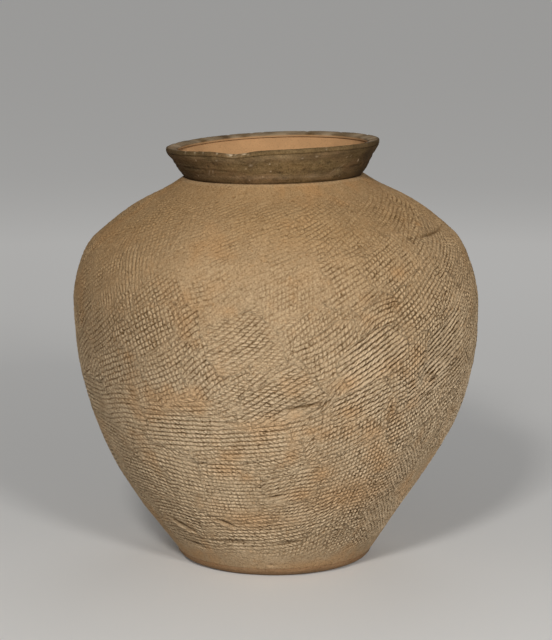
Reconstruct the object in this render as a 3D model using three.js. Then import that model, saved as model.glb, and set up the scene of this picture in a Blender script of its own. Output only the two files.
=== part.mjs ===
// Storage jar of paddled earthenware, built up from strips of clay on a flat slab.
// Millimetres, +Z up, origin at the centre of the resting face, front of the jar towards -Y.
import * as THREE from 'three';

// Slab and foot
const RESTING_RADIUS = 89; // flat face that touches the ground
const SLAB_THICKNESS = 9;
const FOOT_RADIUS = 98.5; // where the wall starts, on the slab's upper edge
const FOOT_FLARE = 35; // degrees that the wall leans outwards just above the slab

// Widest part of the body
const BELLY_RADIUS = 202;
const BELLY_HEIGHT = 259;

// Turn of the shoulder, where the wall swings over towards the neck
const SHOULDER_RADIUS = 180;
const BELLY_TO_SHOULDER_HEIGHT = 66; // rise from the widest part to the turn
const SHOULDER_HEIGHT = BELLY_HEIGHT + BELLY_TO_SHOULDER_HEIGHT;
const SHOULDER_TURN = 43; // degrees above level at the turn
const SHOULDER_SLOPE = 34; // degrees above level where the shoulder meets the neck

// How far each bend of the outline reaches into the next stretch
const FOOT_BEND_LENGTH = 86;
const BELOW_BELLY_BEND_LENGTH = 119;
const ABOVE_BELLY_BEND_LENGTH = 20;
const BELOW_TURN_BEND_LENGTH = 16;
const ABOVE_TURN_BEND_LENGTH = 62;
const SEAT_BEND_LENGTH = 41;

// Clay walls and the joints between the strips
const WALL_THICKNESS_FOOT = 12;
const WALL_THICKNESS_NECK = 9;
const SCARF_HEIGHT = 6; // the inner edge of each joint lies this much higher than the outer
const LUTING_GAP = 0.3; // room for the slip that glues two pieces together

// Seat of the neck in the top of the shoulder
const SHOULDER_TO_SEAT_HEIGHT = 59; // rise from the turn to the top of the ledge
const SEAT_HEIGHT = SHOULDER_HEIGHT + SHOULDER_TO_SEAT_HEIGHT;
const LEDGE_WIDTH = 2.5; // thin ridge of the shoulder left standing round the neck
const REBATE_DEPTH = 2;
const SEAT_THICKNESS = 6; // clay under the neck's foot

// Neck
const NECK_HEIGHT = 28.5; // from the ledge to the underside of the lip
const NECK_BASE_RADIUS = 87;
const NECK_TOP_RADIUS = 102.3;
const NECK_BASE_FLARE = 44; // degrees from upright at the bottom of the neck
const NECK_TOP_FLARE = 18; // degrees from upright under the lip
const NECK_BEND_LENGTH = 10;
const NECK_WALL_THICKNESS_BASE = 8;
const NECK_WALL_THICKNESS_TOP = 6;
const NECK_RIDGE_HEIGHT = 2; // the neck's upper edge is pinched up into a low ridge

// Lip laid over the neck's upper edge
const LIP_RADIUS = 105.3;
const LIP_WIDTH = 11;
const LIP_THICKNESS = 4.8;
const LIP_HEIGHT = SEAT_HEIGHT + NECK_HEIGHT + LIP_THICKNESS; // outer edge of its upper face
const LIP_FALL_HEIGHT = 1.6; // the upper face falls inwards by this much
const LIP_EDGE_RADIUS = 1.2;

// How the jar settled and was beaten out of true while the clay was soft
const FOOT_OFFSET = -1.4; // the foot stands this far to +X of the origin
const LOWER_WALL_HEIGHT = 60;
const LEANS = [
  { from: SLAB_THICKNESS, to: LOWER_WALL_HEIGHT, shift: -2.7 },
  { from: LOWER_WALL_HEIGHT, to: BELLY_HEIGHT - 78, shift: 4.7 },
  { from: BELLY_HEIGHT - 39, to: SHOULDER_HEIGHT, shift: -1.8 },
  { from: SHOULDER_HEIGHT, to: LIP_HEIGHT, shift: -2.1 },
];
const NECK_SEAT_TILT = 0.018; // rise of the neck's seat towards +X
const RIM_TILT = 0.042; // rise of the rim towards +X
const RIM_SADDLE_HEIGHT = 1; // front and back of the rim stand higher than its sides
const RIM_DIP = { angle: -110, depth: -2.6, spread: 17 };

// Broad hollows and swellings left by the paddle
const DENTS = [
  { angle: -37, height: BELLY_HEIGHT - 63, depth: -5, across: 34, upward: 44 },
  { angle: -84, height: BELLY_HEIGHT - 83, depth: -3, across: 30, upward: 20 },
  { angle: -30, height: LOWER_WALL_HEIGHT + 52, depth: -3.5, across: 44, upward: 48 },
  { angle: -32, height: SHOULDER_HEIGHT - 3, depth: 2.5, across: 46, upward: 20 },
  { angle: -142, height: LOWER_WALL_HEIGHT + 90, depth: 2, across: 50, upward: 50 },
  { angle: 62, height: BELLY_HEIGHT - 49, depth: -4, across: 48, upward: 42 },
  { angle: 128, height: SHOULDER_HEIGHT - 25, depth: -3, across: 40, upward: 30 },
];

// Fineness of the faceting
const SEGMENTS = 56;
const OUTER_ROWS = 3;
const INNER_ROWS = 2;
const NECK_ROWS = 4;
const TANGENT_STEP = 0.2;

const BAND_NAMES = [
  'foot_band', 'lower_wall_band_1', 'lower_wall_band_2', 'lower_wall_band_3',
  'belly_band_1', 'belly_band_2', 'shoulder_band_1', 'shoulder_band_2', 'shoulder_band_3',
];

const radians = THREE.MathUtils.degToRad;
const mix = THREE.MathUtils.lerp;

// A point of a cross-section: x is the distance from the axis, y is the height.
const at = (radius, height) => new THREE.Vector2(radius, height);

// A point moved by a distance along a direction given in degrees above level, outwards positive.
function stepped(point, degrees, distance) {
  const turn = radians(degrees);
  return at(point.x + distance * Math.cos(turn), point.y + distance * Math.sin(turn));
}

// Outline of the body's outer face, from the slab's edge up to the ledge round the neck.
function bodyOutline() {
  const foot = at(FOOT_RADIUS, SLAB_THICKNESS);
  const belly = at(BELLY_RADIUS, BELLY_HEIGHT);
  const shoulder = at(SHOULDER_RADIUS, SHOULDER_HEIGHT);
  const ledge = at(NECK_BASE_RADIUS + LEDGE_WIDTH, SEAT_HEIGHT);
  const outline = new THREE.CurvePath();
  outline.add(new THREE.CubicBezierCurve(
    foot, stepped(foot, 90 - FOOT_FLARE, FOOT_BEND_LENGTH),
    stepped(belly, -90, BELOW_BELLY_BEND_LENGTH), belly));
  outline.add(new THREE.CubicBezierCurve(
    belly, stepped(belly, 90, ABOVE_BELLY_BEND_LENGTH),
    stepped(shoulder, -SHOULDER_TURN, BELOW_TURN_BEND_LENGTH), shoulder));
  outline.add(new THREE.CubicBezierCurve(
    shoulder, stepped(shoulder, 180 - SHOULDER_TURN, ABOVE_TURN_BEND_LENGTH),
    stepped(ledge, -SHOULDER_SLOPE, SEAT_BEND_LENGTH), ledge));
  return outline;
}

// Outline of the neck's outer face, from the ledge up to the underside of the lip.
function neckOutline() {
  const base = at(NECK_BASE_RADIUS, SEAT_HEIGHT + LUTING_GAP);
  const top = at(NECK_TOP_RADIUS, LIP_HEIGHT - LIP_THICKNESS - LUTING_GAP);
  const outline = new THREE.CurvePath();
  outline.add(new THREE.CubicBezierCurve(
    base, stepped(base, 90 - NECK_BASE_FLARE, NECK_BEND_LENGTH),
    stepped(top, -90 - NECK_TOP_FLARE, NECK_BEND_LENGTH), top));
  return outline;
}

// A wall that follows an outline, with its thickness measured square to the outer face.
class Wall {
  constructor(outline, thicknessBelow, thicknessAbove) {
    this.outline = outline;
    this.length = outline.getLength();
    this.thicknessBelow = thicknessBelow;
    this.thicknessAbove = thicknessAbove;
  }

  thickness(along) {
    return mix(this.thicknessBelow, this.thicknessAbove, along / this.length);
  }

  outer(along) {
    const share = THREE.MathUtils.clamp(along / this.length, 0, 1);
    const point = this.outline.getPoint(share);
    return point.addScaledVector(this.direction(along), along - share * this.length);
  }

  direction(along) {
    const low = THREE.MathUtils.clamp(along - TANGENT_STEP, 0, this.length - 2 * TANGENT_STEP);
    const start = this.outline.getPoint(low / this.length);
    const end = this.outline.getPoint((low + 2 * TANGENT_STEP) / this.length);
    return end.sub(start).normalize();
  }

  inner(along) {
    const direction = this.direction(along);
    const inwards = at(-direction.y, direction.x);
    return this.outer(along).addScaledVector(inwards, this.thickness(along));
  }

  // Points up the outer face between two places, both ends included.
  outerFace(from, to, rows) {
    return Array.from({ length: rows + 1 }, (_, row) => this.outer(mix(from, to, row / rows)));
  }

  // Points down the inner face between two places, both ends included.
  innerFace(from, to, rows) {
    return Array.from({ length: rows + 1 }, (_, row) => this.inner(mix(to, from, row / rows)));
  }
}

const body = new Wall(bodyOutline(), WALL_THICKNESS_FOOT, WALL_THICKNESS_NECK);
const neck = new Wall(neckOutline(), NECK_WALL_THICKNESS_BASE, NECK_WALL_THICKNESS_TOP);
const seatFloor = SEAT_HEIGHT - REBATE_DEPTH;
const neckInnerRadius = NECK_BASE_RADIUS - NECK_WALL_THICKNESS_BASE;

// Half of the room that a joint's slip takes, measured along the wall.
function halfSlip(along) {
  return LUTING_GAP / 2 * Math.hypot(1, SCARF_HEIGHT / body.thickness(along));
}

// Cross-section of the slab, with the rounded edge that shows below the wall.
function slabSection() {
  const edge = FOOT_RADIUS - RESTING_RADIUS;
  return [
    at(0, 0), at(RESTING_RADIUS, 0),
    at(RESTING_RADIUS + edge * 0.5, SLAB_THICKNESS * 0.24),
    at(RESTING_RADIUS + edge * 0.85, SLAB_THICKNESS * 0.58),
    at(FOOT_RADIUS, SLAB_THICKNESS), at(0, SLAB_THICKNESS),
  ];
}

// Foot of the lowest strip: the inner face runs on straight down to the slab.
function footSeat() {
  const seat = SLAB_THICKNESS + LUTING_GAP;
  const direction = body.direction(0);
  const heel = body.inner(0);
  heel.addScaledVector(direction, (seat - heel.y) / direction.y);
  const toe = body.outer(LUTING_GAP / direction.y);
  return { heel, toe };
}

// Top of the highest strip: a ledge, a rebate for the neck and a thickened seat under it.
function neckSeat() {
  const rebate = NECK_BASE_RADIUS + LUTING_GAP;
  return [
    at(rebate, SEAT_HEIGHT), at(rebate, seatFloor), at(neckInnerRadius, seatFloor),
    at(neckInnerRadius, seatFloor - SEAT_THICKNESS),
  ];
}

// Cross-section of one strip of the wall, up its outer face and down its inner face.
function bandSection(index) {
  const pitch = body.length / BAND_NAMES.length;
  const low = index * pitch;
  const high = low + pitch;
  const isFirst = index === 0;
  const isLast = index === BAND_NAMES.length - 1;
  const outerLow = isFirst ? 0 : low + halfSlip(low);
  const innerLow = isFirst ? 0 : low + SCARF_HEIGHT + halfSlip(low);
  const outerHigh = isLast ? high : high - halfSlip(high);
  const innerHigh = isLast ? high - 2 * SCARF_HEIGHT : high + SCARF_HEIGHT - halfSlip(high);
  const outerFace = body.outerFace(outerLow, outerHigh, OUTER_ROWS);
  const innerFace = body.innerFace(innerLow, innerHigh, INNER_ROWS);
  if (isFirst) {
    const { heel, toe } = footSeat();
    outerFace[0] = toe;
    innerFace.push(heel);
  }
  return isLast ? [...outerFace, ...neckSeat(), ...innerFace] : [...outerFace, ...innerFace];
}

// The ridge along the neck's upper edge: its inner corner, its crest and its outer corner.
function neckRidge() {
  const outer = neck.outer(neck.length);
  const inner = at(outer.x - NECK_WALL_THICKNESS_TOP, outer.y);
  const crest = at((outer.x + inner.x) / 2, outer.y + NECK_RIDGE_HEIGHT);
  return { outer, crest, inner };
}

// Cross-section of the neck: its foot stands in the rebate, its upper edge carries the ridge.
function neckSection() {
  const { crest, inner } = neckRidge();
  const foot = seatFloor + LUTING_GAP;
  const outerFace = neck.outerFace(0, neck.length, NECK_ROWS);
  const innerFace = neck.innerFace(0, neck.length, NECK_ROWS).slice(1);
  return [
    at(NECK_BASE_RADIUS, foot), ...outerFace, crest, inner, ...innerFace, at(neckInnerRadius, foot),
  ];
}

// Cross-section of the lip: rounded outer edge, upper face falling inwards, groove over the neck.
function lipSection() {
  const { outer, crest, inner } = neckRidge();
  const lift = LUTING_GAP * Math.hypot(1, NECK_RIDGE_HEIGHT / (NECK_WALL_THICKNESS_TOP / 2));
  const underside = outer.y + lift;
  const innerRadius = LIP_RADIUS - LIP_WIDTH;
  const innerTop = LIP_HEIGHT - LIP_FALL_HEIGHT;
  return [
    at(LIP_RADIUS - LIP_EDGE_RADIUS, underside),
    at(LIP_RADIUS, underside + LIP_EDGE_RADIUS),
    at(LIP_RADIUS, LIP_HEIGHT - LIP_EDGE_RADIUS),
    at(LIP_RADIUS - LIP_EDGE_RADIUS, LIP_HEIGHT),
    at(innerRadius + LIP_EDGE_RADIUS, innerTop),
    at(innerRadius, innerTop - LIP_EDGE_RADIUS),
    at(innerRadius, underside),
    at(inner.x, underside), at(crest.x, crest.y + lift), at(outer.x, underside),
  ];
}

// Smooth change from 0 to 1 between two heights.
const rise = (height, from, to) => THREE.MathUtils.smoothstep(height, from, to);

// Sideways shift of the jar's centre line at a height.
function lean(height) {
  return LEANS.reduce((sum, { from, to, shift }) => sum + shift * rise(height, from, to), FOOT_OFFSET);
}

// Angle between two directions round the jar, in radians, the short way.
function turnBetween(angle, degrees) {
  const difference = angle - radians(degrees);
  return Math.atan2(Math.sin(difference), Math.cos(difference));
}

// How far the paddle pushed the wall outwards at an angle and height.
function dentDepth(angle, height) {
  return DENTS.reduce((sum, dent) => {
    const across = turnBetween(angle, dent.angle) * BELLY_RADIUS / dent.across;
    const upward = (height - dent.height) / dent.upward;
    return sum + dent.depth * Math.exp(-across * across - upward * upward);
  }, 0);
}

// How far the rim rises or falls at an angle, beyond its tilt.
function rimWave(angle) {
  const away = turnBetween(angle, RIM_DIP.angle) * LIP_RADIUS / RIM_DIP.spread;
  return -RIM_SADDLE_HEIGHT * Math.cos(2 * angle) + RIM_DIP.depth * Math.exp(-away * away);
}

// Moves every point of a true, round piece to where it lies on the settled jar.
function settle(geometry) {
  const position = geometry.getAttribute('position');
  const point = new THREE.Vector3();
  for (let index = 0; index < position.count; index += 1) {
    point.fromBufferAttribute(position, index);
    const angle = Math.atan2(point.y, point.x);
    const height = point.z;
    const radius = Math.hypot(point.x, point.y);
    const bodyShare = rise(height, 0, SLAB_THICKNESS * 3) * (1 - rise(height, SHOULDER_HEIGHT, SEAT_HEIGHT));
    const settledRadius = radius + dentDepth(angle, height) * bodyShare;
    const seatTilt = NECK_SEAT_TILT * rise(height, BELLY_HEIGHT, SEAT_HEIGHT);
    const rimShare = rise(height, SEAT_HEIGHT, LIP_HEIGHT);
    const x = settledRadius * Math.cos(angle) + lean(height);
    const tilt = mix(seatTilt, RIM_TILT, rimShare);
    position.setXYZ(index, x, settledRadius * Math.sin(angle), height + tilt * x + rimWave(angle) * rimShare);
  }
  return geometry;
}

// Turns a cross-section round the axis and lets the piece settle.
function turned(section) {
  const isOnAxis = section[0].x === 0;
  const profile = isOnAxis ? section : [...section, section[0]];
  const geometry = new THREE.LatheGeometry(profile, SEGMENTS);
  geometry.rotateX(Math.PI / 2);
  return settle(geometry);
}

function clay(color, roughness) {
  return new THREE.MeshStandardMaterial({ color, roughness, metalness: 0 });
}

const footClay = clay('#a9713f', 0.95);
const bodyClay = clay('#8d7350', 0.92);
const shoulderClay = clay('#8a714f', 0.9);
const neckClay = clay('#5e4a33', 0.85);
const lipClay = clay('#7a6a52', 0.85);

function piece(name, section, material) {
  const mesh = new THREE.Mesh(turned(section), material);
  mesh.name = name;
  return mesh;
}

const jar = new THREE.Group();
jar.add(piece('base_slab', slabSection(), footClay));
BAND_NAMES.forEach((name, index) => {
  jar.add(piece(name, bandSection(index), name.startsWith('shoulder') ? shoulderClay : bodyClay));
});
jar.add(piece('neck_collar', neckSection(), neckClay));
jar.add(piece('rim_lip', lipSection(), lipClay));

export default jar;
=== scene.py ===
"""Looks of the storage jar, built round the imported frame.

The wall is made strip by strip over a slab, then a neck and a lip are set on it, as the potter
did. Each piece starts as a drawn cross-section that is turned round the axis. Its wall is then
beaten with a carved paddle, wiped, marked and left to settle. Lengths are in millimetres until a
mesh is made, and angles are in degrees round the jar, with the front of the jar at -90.
"""
import logging
import math
from dataclasses import dataclass, field, replace
from enum import Enum

import bpy
import numpy as np
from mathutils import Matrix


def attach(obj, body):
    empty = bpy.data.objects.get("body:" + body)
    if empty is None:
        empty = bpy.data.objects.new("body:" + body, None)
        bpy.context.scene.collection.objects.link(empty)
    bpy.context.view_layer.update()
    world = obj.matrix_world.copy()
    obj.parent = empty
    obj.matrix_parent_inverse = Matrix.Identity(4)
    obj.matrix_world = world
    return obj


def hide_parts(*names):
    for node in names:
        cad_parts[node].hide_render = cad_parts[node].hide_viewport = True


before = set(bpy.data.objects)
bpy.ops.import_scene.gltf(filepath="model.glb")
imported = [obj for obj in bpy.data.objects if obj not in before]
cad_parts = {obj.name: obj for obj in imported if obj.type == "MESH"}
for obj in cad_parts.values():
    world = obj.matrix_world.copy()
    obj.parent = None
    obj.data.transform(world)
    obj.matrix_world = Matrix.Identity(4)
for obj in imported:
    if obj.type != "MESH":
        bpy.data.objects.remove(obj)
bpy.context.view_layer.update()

LOG = logging.getLogger("storage_jar")
MM = 0.001
TURN = 2.0 * math.pi
FRONT = -90.0

Array = np.ndarray
Socket = bpy.types.NodeSocket
Point = tuple[float, float]
Span = tuple[float, float]
Color = tuple[float, float, float]


class Layer(Enum):
    """Vertex layers that the finishes read."""

    ROWS = "print_rows"
    BEADS = "print_beads"
    ROW_DEPTH = "row_depth"
    BEAD_DEPTH = "bead_depth"
    OLD_ROWS = "old_print_rows"
    OLD_BEADS = "old_print_beads"
    OLD_ROW_DEPTH = "old_row_depth"
    OLD_BEAD_DEPTH = "old_bead_depth"
    WARM = "warm_clay"
    # Also holds a painted highlight on slit flaps
    PALE = "pale_clay"
    # Also holds painted shade and painted shadow
    DARK = "dark_clay"
    # Also holds painted highlights on the neck's front and along the shoulder's top edge
    BARE = "bare_clay"
    INSIDE = "inside_wall"


DEPTHS = (Layer.ROW_DEPTH, Layer.BEAD_DEPTH, Layer.OLD_ROW_DEPTH, Layer.OLD_BEAD_DEPTH)


class Weave(Enum):
    """How the short grooves cross the rows of a print: degrees from the rows, pitch and strength."""

    LEFT_LEANING = (140.0, 3.2, 0.86)
    RIGHT_LEANING = (35.0, 3.1, 0.86)
    SQUARE = (98.0, 4.3, 0.8)
    STEEP = (64.0, 3.7, 0.9)
    NET = (80.0, 4.5, 0.8)


class MarkKind(Enum):
    """Kinds of accident on the wall; creases and slits also carry painted shade, and some dark spots are
    painted shade.
    """

    CREASE = "crease"
    SLIT = "slit"
    HOLLOW = "hollow"
    STEP = "step"
    WARM_SPOT = "warm_spot"
    PALE_SPOT = "pale_spot"
    DARK_SPOT = "dark_spot"
    WIPED = "wiped"
    PIT = "pit"
    GRIT = "grit"
    SCRATCH = "scratch"


def eased(value: Array, low: float, high: float) -> Array:
    """Smooth change from 0 at low to 1 at high."""
    share = np.clip((value - low) / (high - low), 0.0, 1.0)
    return share * share * (3.0 - 2.0 * share)


def short_way(angle: Array) -> Array:
    """Brings angles in radians between minus and plus half a turn."""
    return np.arctan2(np.sin(angle), np.cos(angle))


def turn_between(angle: Array, degrees: float) -> Array:
    """Angle from a direction in degrees to angles in radians, the short way round."""
    return short_way(angle - math.radians(degrees))


def between(first: float, second: float, share: float) -> float:
    """Returns the value that lies a share of the way from the first to the second."""
    return first + (second - first) * share


def stepped(point: Point, degrees: float, distance: float) -> Point:
    """Moves a point of a section.

    Args:
        point: radius and height.
        degrees: direction above level, outwards positive.
        distance: how far to go.

    Returns:
        The moved point.
    """
    turn = math.radians(degrees)
    return point[0] + distance * math.cos(turn), point[1] + distance * math.sin(turn)


@dataclass(frozen=True)
class Stretch:
    """One bend of an outline: a cubic curve between two points, in radius and height."""

    start: Point
    leave: Point
    arrive: Point
    end: Point

    def points(self, count: int) -> Array:
        """Samples the bend.

        Args:
            count: how many points to take.

        Returns:
            An array of (radius, height) rows.
        """
        t = np.linspace(0.0, 1.0, count)[:, None]
        corners = [np.array(p) for p in (self.start, self.leave, self.arrive, self.end)]
        weights = [(1 - t) ** 3, 3 * (1 - t) ** 2 * t, 3 * (1 - t) * t * t, t ** 3]
        return sum(weight * corner for weight, corner in zip(weights, corners))


class Outline:
    """A section line that can be read by distance along it."""

    SAMPLES = 900
    PROBE = 0.3

    def __init__(self, stretches: list[Stretch]) -> None:
        """Joins the stretches end to end.

        Args:
            stretches: the bends, in order.
        """
        parts = [stretch.points(self.SAMPLES)[min(index, 1):] for index, stretch in enumerate(stretches)]
        self.line = np.vstack(parts)
        steps = np.hypot(*np.diff(self.line, axis=0).T)
        self.along = np.concatenate([[0.0], np.cumsum(steps)])
        self.length = float(self.along[-1])

    def at(self, along: Array) -> Array:
        """Reads the line.

        Args:
            along: distances along the line.

        Returns:
            A (radius, height) row for each distance.
        """
        radius = np.interp(along, self.along, self.line[:, 0])
        height = np.interp(along, self.along, self.line[:, 1])
        return np.stack([radius, height], axis=-1)

    def direction(self, along: Array) -> Array:
        """Reads which way the line runs.

        Args:
            along: distances along the line.

        Returns:
            A unit direction, upwards, for each distance.
        """
        middle = np.clip(along, self.PROBE, self.length - self.PROBE)
        step = self.at(middle + self.PROBE) - self.at(middle - self.PROBE)
        return step / np.linalg.norm(step, axis=-1, keepdims=True)

    def outwards(self, along: Array) -> Array:
        """Returns unit directions square to the line, away from the axis."""
        direction = self.direction(along)
        return np.stack([direction[..., 1], -direction[..., 0]], axis=-1)

    def along_at_height(self, height: Array) -> Array:
        """Returns the distance along the line at a height, for a line that only rises."""
        return np.interp(height, self.line[:, 1], self.along)


@dataclass(frozen=True)
class JarSizes:
    """Driving dimensions of the jar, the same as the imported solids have."""

    resting_radius: float = 89.0
    slab_thickness: float = 9.0
    foot_radius: float = 98.5
    foot_flare: float = 35.0
    belly_radius: float = 202.0
    belly_height: float = 259.0
    shoulder_radius: float = 180.0
    shoulder_height: float = 325.0
    shoulder_turn: float = 43.0
    shoulder_slope: float = 34.0
    foot_bend: float = 86.0
    below_belly_bend: float = 119.0
    above_belly_bend: float = 20.0
    below_turn_bend: float = 16.0
    above_turn_bend: float = 62.0
    seat_bend: float = 41.0
    wall_at_foot: float = 12.0
    wall_at_neck: float = 9.0
    scarf_height: float = 6.0
    gap: float = 0.3
    seat_height: float = 384.0
    ledge_width: float = 2.5
    rebate_depth: float = 2.0
    seat_thickness: float = 6.0
    neck_height: float = 28.5
    neck_base_radius: float = 87.0
    neck_top_radius: float = 102.3
    neck_base_flare: float = 44.0
    neck_top_flare: float = 18.0
    neck_bend: float = 10.0
    neck_wall_base: float = 8.0
    neck_wall_top: float = 6.0
    neck_ridge: float = 2.0
    lip_radius: float = 105.3
    lip_width: float = 11.0
    lip_thickness: float = 4.8
    lip_fall: float = 1.6
    lip_edge: float = 1.2

    @property
    def neck_top_height(self) -> float:
        """Height of the underside of the lip."""
        return self.seat_height + self.neck_height

    @property
    def lip_height(self) -> float:
        """Height of the lip's outer upper edge."""
        return self.neck_top_height + self.lip_thickness

    def body_outline(self) -> Outline:
        """Draws the body's section.

        Returns:
            The outer line of the body, from the slab's edge to the ledge at the neck.
        """
        foot = (self.foot_radius, self.slab_thickness)
        belly = (self.belly_radius, self.belly_height)
        shoulder = (self.shoulder_radius, self.shoulder_height)
        ledge = (self.neck_base_radius + self.ledge_width, self.seat_height)
        return Outline([
            Stretch(foot, stepped(foot, 90 - self.foot_flare, self.foot_bend),
                    stepped(belly, -90, self.below_belly_bend), belly),
            Stretch(belly, stepped(belly, 90, self.above_belly_bend),
                    stepped(shoulder, -self.shoulder_turn, self.below_turn_bend), shoulder),
            Stretch(shoulder, stepped(shoulder, 180 - self.shoulder_turn, self.above_turn_bend),
                    stepped(ledge, -self.shoulder_slope, self.seat_bend), ledge),
        ])

    def neck_outline(self) -> Outline:
        """Draws the neck's section.

        Returns:
            The outer line of the neck, from the ledge to the underside of the lip.
        """
        base = (self.neck_base_radius, self.seat_height + self.gap)
        top = (self.neck_top_radius, self.neck_top_height - self.gap)
        return Outline([
            Stretch(base, stepped(base, 90 - self.neck_base_flare, self.neck_bend),
                    stepped(top, -90 - self.neck_top_flare, self.neck_bend), top),
        ])


@dataclass(frozen=True)
class Dent:
    """A broad hollow, or a swelling where depth is positive."""

    angle: float
    height: float
    depth: float
    across: float
    upward: float


@dataclass(frozen=True)
class Lean:
    """A part of the jar's height over which it shifts to one side."""

    low: float
    high: float
    shift: float


@dataclass(frozen=True)
class Settling:
    """How the soft jar leaned and was beaten out of true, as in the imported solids."""

    sizes: JarSizes
    foot_offset: float = -1.4
    seat_tilt: float = 0.018
    rim_tilt: float = 0.042
    saddle: float = 1.0
    dip_angle: float = -110.0
    dip_depth: float = -2.6
    dip_spread: float = 17.0
    leans: tuple[Lean, ...] = (
        Lean(9.0, 60.0, -2.7), Lean(60.0, 181.0, 4.7), Lean(220.0, 325.0, -1.8), Lean(325.0, 417.3, -2.1),
    )
    dents: tuple[Dent, ...] = (
        Dent(-37, 196, -5.0, 34, 44), Dent(-84, 176, -3.0, 30, 20), Dent(-30, 112, -3.5, 44, 48),
        Dent(-32, 322, 2.5, 46, 20), Dent(-142, 150, 2.0, 50, 50), Dent(62, 210, -4.0, 48, 42),
        Dent(128, 300, -3.0, 40, 30),
    )

    def settle(self, points: Array) -> Array:
        """Moves points of the true, round jar to where they lie on the settled one.

        Args:
            points: x, y and z rows in millimetres.

        Returns:
            The moved rows.
        """
        angle = np.arctan2(points[:, 1], points[:, 0])
        height = points[:, 2]
        radius = np.hypot(points[:, 0], points[:, 1])
        sizes = self.sizes
        share = eased(height, 0, sizes.slab_thickness * 3)
        share = share * (1 - eased(height, sizes.shoulder_height, sizes.seat_height))
        for dent in self.dents:
            across = turn_between(angle, dent.angle) * sizes.belly_radius / dent.across
            upward = (height - dent.height) / dent.upward
            radius = radius + share * dent.depth * np.exp(-across ** 2 - upward ** 2)
        lean = self.foot_offset + sum(part.shift * eased(height, part.low, part.high) for part in self.leans)
        rim = eased(height, sizes.seat_height, sizes.lip_height)
        tilt = self.seat_tilt * eased(height, sizes.belly_height, sizes.seat_height)
        tilt = tilt + (self.rim_tilt - tilt) * rim
        away = turn_between(angle, self.dip_angle) * sizes.lip_radius / self.dip_spread
        wave = -self.saddle * np.cos(2 * angle) + self.dip_depth * np.exp(-away ** 2)
        x = radius * np.cos(angle) + lean
        return np.stack([x, radius * np.sin(angle), height + tilt * x + wave * rim], axis=-1)


class Clouds:
    """Soft random unevenness over angle and height, without a seam."""

    def __init__(self, seed: int, angle: Array, along: Array) -> None:
        """Starts a row of random draws over some places.

        Args:
            seed: where the draws start.
            angle: radians round the jar.
            along: millimetres up the section.
        """
        self.draws = np.random.default_rng(seed)
        self.angle, self.along = angle, along

    def layer(self, round_cells: int, cell: float) -> Array:
        """Makes one layer of unevenness between -1 and 1.

        Args:
            round_cells: how many cells go round the jar.
            cell: height of a cell.

        Returns:
            The layer at each place.
        """
        rows = int(self.along.max() / cell) + 3
        values = self.draws.uniform(-1.0, 1.0, (rows, round_cells))
        column = (self.angle / TURN % 1.0) * round_cells
        row = np.clip(self.along / cell, 0, rows - 2)
        left, low = np.floor(column).astype(int), np.floor(row).astype(int)
        u, v = column - left, row - low
        u, v = u * u * (3 - 2 * u), v * v * (3 - 2 * v)
        left, right = left % round_cells, (left + 1) % round_cells
        below = values[low, left] * (1 - u) + values[low, right] * u
        above = values[low + 1, left] * (1 - u) + values[low + 1, right] * u
        return below * (1 - v) + above * v


@dataclass(frozen=True)
class Paddle:
    """The paddle: rows of cord, whose grooves are crossed by shorter ones, and how it falls."""

    row_pitch: float = 4.65
    row_depth: float = 1.05
    bead_depth: float = 0.85
    sharpness: float = 2.1
    old_share: float = 0.4
    follows: float = 0.65
    wobble: float = 3.2
    firmness: Span = (0.75, 1.0)
    half_lengths: Span = (28.0, 44.0)
    half_widths: Span = (20.0, 28.0)
    stretches: Span = (0.94, 1.06)
    sinks: Span = (-0.16, 0.16)
    tipping: float = 0.005
    bending: float = 0.0006
    edge: Span = (0.8, 1.04)
    raggedness: float = 0.16
    edge_loss: float = 0.25
    dome: float = 0.12

    def phases(self, forward: Array, sideways: Array, weave: Weave) -> tuple[Array, Array]:
        """Counts grooves across both sets.

        Args:
            forward: millimetres along the rows.
            sideways: millimetres across the rows.
            weave: how the short grooves lie.

        Returns:
            The counts of rows and of cross grooves.
        """
        lean, pitch = math.radians(weave.value[0]), weave.value[1]
        return sideways / self.row_pitch, (sideways * math.cos(lean) - forward * math.sin(lean)) / pitch

    def groove(self, phase: Array) -> Array:
        """Returns 1 in the middle of each groove and 0 between grooves."""
        return (0.5 + 0.5 * np.cos(TURN * phase)) ** self.sharpness


@dataclass(frozen=True)
class Blow:
    """One blow of the paddle: where it lands, how it is turned (in radians) and how well it prints."""

    number: int
    angle: float
    along: float
    slope: float
    weave: Weave
    half_length: float
    half_width: float
    shift: Point = (0.0, 0.0)
    follows: bool = True
    stretch: float = 1.0
    prints: Point = (1.0, 1.0)
    sink: float = -0.2
    tip: Point = (0.0, 0.0)
    bend: float = 0.0


@dataclass(frozen=True)
class Patch:
    """A part of the wall where rows and cross grooves print more or less deeply than elsewhere."""

    angle: float
    along: float
    spread: float
    rows: float
    beads: float


@dataclass(frozen=True)
class Mark:
    """One accident on the wall: where it lies, how far it reaches and how deep it is."""

    kind: MarkKind
    angle: float
    along: float
    length: float
    width: float
    depth: float = 0.0
    slope: float = 0.0

    def reach(self, angle: Array, along: Array, radius: float) -> tuple[Array, Array]:
        """Measures places from the mark, in its own lengths and widths.

        Args:
            angle: radians round the jar.
            along: millimetres up the surface.
            radius: radius of the surface at the mark.

        Returns:
            How far each place lies along the mark and across it.
        """
        slope = math.radians(self.slope)
        x, y = turn_between(angle, self.angle) * radius, along - self.along
        forward = (x * math.cos(slope) + y * math.sin(slope)) / self.length
        return forward, (-x * math.sin(slope) + y * math.cos(slope)) / self.width

    def spread(self, angle: Array, along: Array, radius: float) -> Array:
        """Returns 1 in the middle of the mark, fading to 0 round it."""
        forward, sideways = self.reach(angle, along, radius)
        return np.exp(-forward ** 2 - sideways ** 2)


def marks_of(kind: MarkKind, *rows: tuple[float, ...]) -> tuple[Mark, ...]:
    """Makes marks of one kind from rows of their angle, place up the wall, length, width and so on."""
    return tuple(Mark(kind, *row) for row in rows)


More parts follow.
